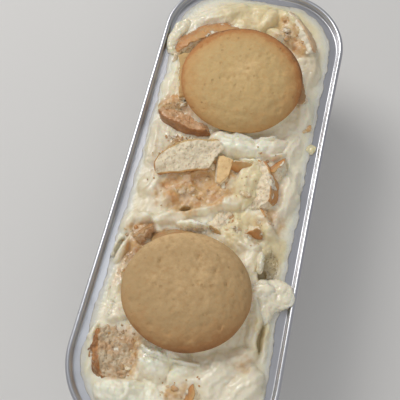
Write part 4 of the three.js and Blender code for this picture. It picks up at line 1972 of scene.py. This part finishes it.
def overflows() -> list[Overflow]:
    """The places where cream has run out over the ledge."""
    return [
        Overflow("cream_overflow_right", (
            (27, -29.6, -1, 5.2, 3.2, 2.1, -14),
            (29.8, -31.6, -1, 3, 3.7, 1.8, 0),
            (26.4, -33.2, -1.4, 4.8, 3.4, 2.1, 12),
            (22.6, -31.6, -1.4, 4.6, 4.6, 2.9, 0),
            (23.6, -36.6, -1.8, 3, 5, 2.4, 0),
        )),
        Overflow("cream_flake", ((19.2, -23, 1.2, 1.15, 3.5, 2.6, 6),), 0, 0.25),
        Overflow("cream_overflow_left", (
            (-28.6, 54.4, -1.6, 2.6, 4.4, 1.6, -8),
            (-26.8, 60, -1.6, 2.6, 4.4, 1.6, -32),
            (-28.2, 50.6, -2.1, 2.2, 2.8, 1.2, 10),
        )),
        Overflow("cream_speck_right", ((28.2, 21.6, -2.4, 1.9, 2.3, 0.7, 0),), 1),
    ]


def crumb_kinds() -> list[Crumbs]:
    """The loose crumbs, by kind."""
    soaked_patches = (
        (-6, -2, 11, 6, 30, 9),
        (-2, 5, 4, 4, 0, 4),
        (-20, 26, 5, 4, 60, 5),
        (10, -14, 8, 5, -30, 5),
        (10, 1, 5, 7, 0, 2),
        (-18, -60, 7, 8, 0, 6),
        (3, -68, 6, 4, 0, 4),
        (-12, -20.5, 8, 2, 15, 5),
        (14, 64, 7, 5, -40, 4),
    )
    soft_patches = (
        (-8, -3, 12, 7, 30, 6),
        (-3, 4, 6, 4, 0, 5),
        (-16, 13, 6, 2.5, 0, 12),
        (-21, 23, 5, 4, 40, 16),
        (12, -14, 9, 6, -30, 4),
        (10, 2, 5, 7, 0, 2),
        (12, 15, 8, 4, 0, 5),
        (-18, -58, 8, 9, 0, 18),
        (3, -68, 7, 4, 0, 8),
        (18, -8, 5, 4, 0, 5),
        (-24, -22, 5, 2.5, 70, 8),
        (15, 66, 6, 6, 0, 5),
    )
    dust_patches = (
        (-8, -3, 14, 8, 30, 10),
        (-16, 14, 6, 2.6, 0, 80),
        (-21, 24, 6, 5, 40, 40),
        (12, -13, 10, 7, -30, 8),
        (11, 3, 7, 8, 0, 5),
        (-22, 5, 4, 10, 0, 14),
        (-17, -58, 9, 10, 0, 30),
        (4, -66, 9, 6, 0, 12),
        (14, 66, 8, 7, 0, 6),
    )
    pale, tan = (0.1, 0.7), (0.3, 0.95)
    return [
        Crumbs("crumbs_soaked", soaked_patches, (1.1, 2.1), 0.36, 0.8, pale, 0.52, seed=21),
        Crumbs("crumbs_soft", soft_patches, (0.4, 1.0), 0.5, 0.66, tan, 0.5, seed=4),
        Crumbs("crumbs_fine", dust_patches, (0.18, 0.4), 0.8, 0.4, tan, 0.5, seed=9),
    ]


# ---- The studio ----


@dataclass(frozen=True)
class Lamp:
    """A square soft light that looks at the pudding: metres, watts and its tint."""

    name: str
    place: Row
    size: float
    power: float
    tint: Colour

    def hang(self) -> None:
        """Hangs the lamp."""
        data = bpy.data.lights.new(self.name, "AREA")
        data.energy = self.power
        data.size = self.size
        data.color = self.tint
        light = bpy.data.objects.new(self.name, data)
        light.location = self.place
        towards = Vector((0, 0, RIM_HEIGHT * MM)) - Vector(self.place)
        light.rotation_euler = towards.to_track_quat("-Z", "Y").to_euler()
        bpy.context.scene.collection.objects.link(light)


@dataclass
class Studio:
    """Camera, light and floor.

    `aim` and `stand` are where the camera looks and stands, in mm from the rim's middle,
    and `roll` turns it about its line of sight, in degrees.
    """

    aim: Row = (-4.408, -6.026, 0)
    stand: Row = (14.485, -81.993, 199.718)
    roll: float = -0.725
    lens: float = 58.5
    sensor: float = 36.0
    lamps: Sequence[Lamp] = (
        Lamp("window", (-0.5, 0.36, 0.6), 0.42, 3.5, (1.0, 0.99, 0.98)),
        Lamp("skylight", (-0.18, 0.05, 0.62), 0.16, 0.1, (0.86, 0.94, 1.0)),
        Lamp("ceiling", (0.3, -0.5, 0.8), 0.8, 1.7, (1.0, 0.99, 0.97)),
    )
    surround: Colour = (0.94, 0.955, 1.0)
    surround_strength: float = 0.36
    floor_size: float = 3

    def set_camera(self) -> None:
        """Puts the camera where the photograph was taken from."""
        data = bpy.data.cameras.new("photograph")
        data.lens = self.lens
        data.sensor_width = self.sensor
        data.clip_start = 0.01
        camera = bpy.data.objects.new("photograph", data)
        up = Vector((0, 0, RIM_HEIGHT))
        stand, aim = Vector(self.stand) + up, Vector(self.aim) + up
        look = (aim - stand).to_track_quat("-Z", "Y").to_matrix().to_4x4()
        roll = Matrix.Rotation(math.radians(self.roll), 4, "Z")
        camera.matrix_world = Matrix.Translation(stand * MM) @ look @ roll
        bpy.context.scene.collection.objects.link(camera)
        bpy.context.scene.camera = camera

    def light(self) -> None:
        """Hangs the lamps and sets a pale even surround."""
        for lamp in self.lamps:
            lamp.hang()
        world = bpy.data.worlds.new("pale_room")
        world.use_nodes = True
        background = world.node_tree.nodes["Background"]
        background.inputs["Color"].default_value = (*self.surround, 1)
        background.inputs["Strength"].default_value = self.surround_strength
        bpy.context.scene.world = world
        bpy.context.scene.view_settings.view_transform = "Standard"

    def lay_floor(self) -> None:
        """Lays a wide pale floor under the pan."""
        start_fresh()
        bpy.ops.mesh.primitive_plane_add(size=self.floor_size)
        floor = named("floor")
        floor.data.materials.append(Floor().material())


def main() -> None:
    """Builds the studio and the pudding, piece by piece."""
    logging.basicConfig(level=logging.INFO, format="%(message)s", force=True)
    studio = Studio()
    studio.set_camera()
    studio.light()
    studio.lay_floor()
    pan = Pan()
    pan.build()
    wafers = whole_wafers()
    broken_pieces = broken_wafers()
    pudding = Pudding(pan, wafers, broken_pieces)
    cream = pudding.build()
    finishes = {soak: Wafer(soak).material() for soak in Soak}
    for overflow in overflows():
        overflow.build(pan, cream.data.materials[0])
    # The near wafer's finish; its pale tone, which shows on its far side, is partly painted light.
    browned = Wafer(
        name="browned",
        pale=srgb(232, 197, 145),
        middle=srgb(188, 156, 110),
        tan=srgb(188, 147, 98),
        edge=srgb(174, 124, 76),
    )
    for wafer, finish in zip(wafers, (finishes[Soak.DRY], browned.material())):
        wafer.build(finish)
    for broken in broken_pieces:
        broken.build(pan, finishes[broken.soak])
    for crumbs in crumb_kinds():
        crumbs.build(pudding, finishes[Soak.DAMP])


if __name__ == "__main__":
    main()
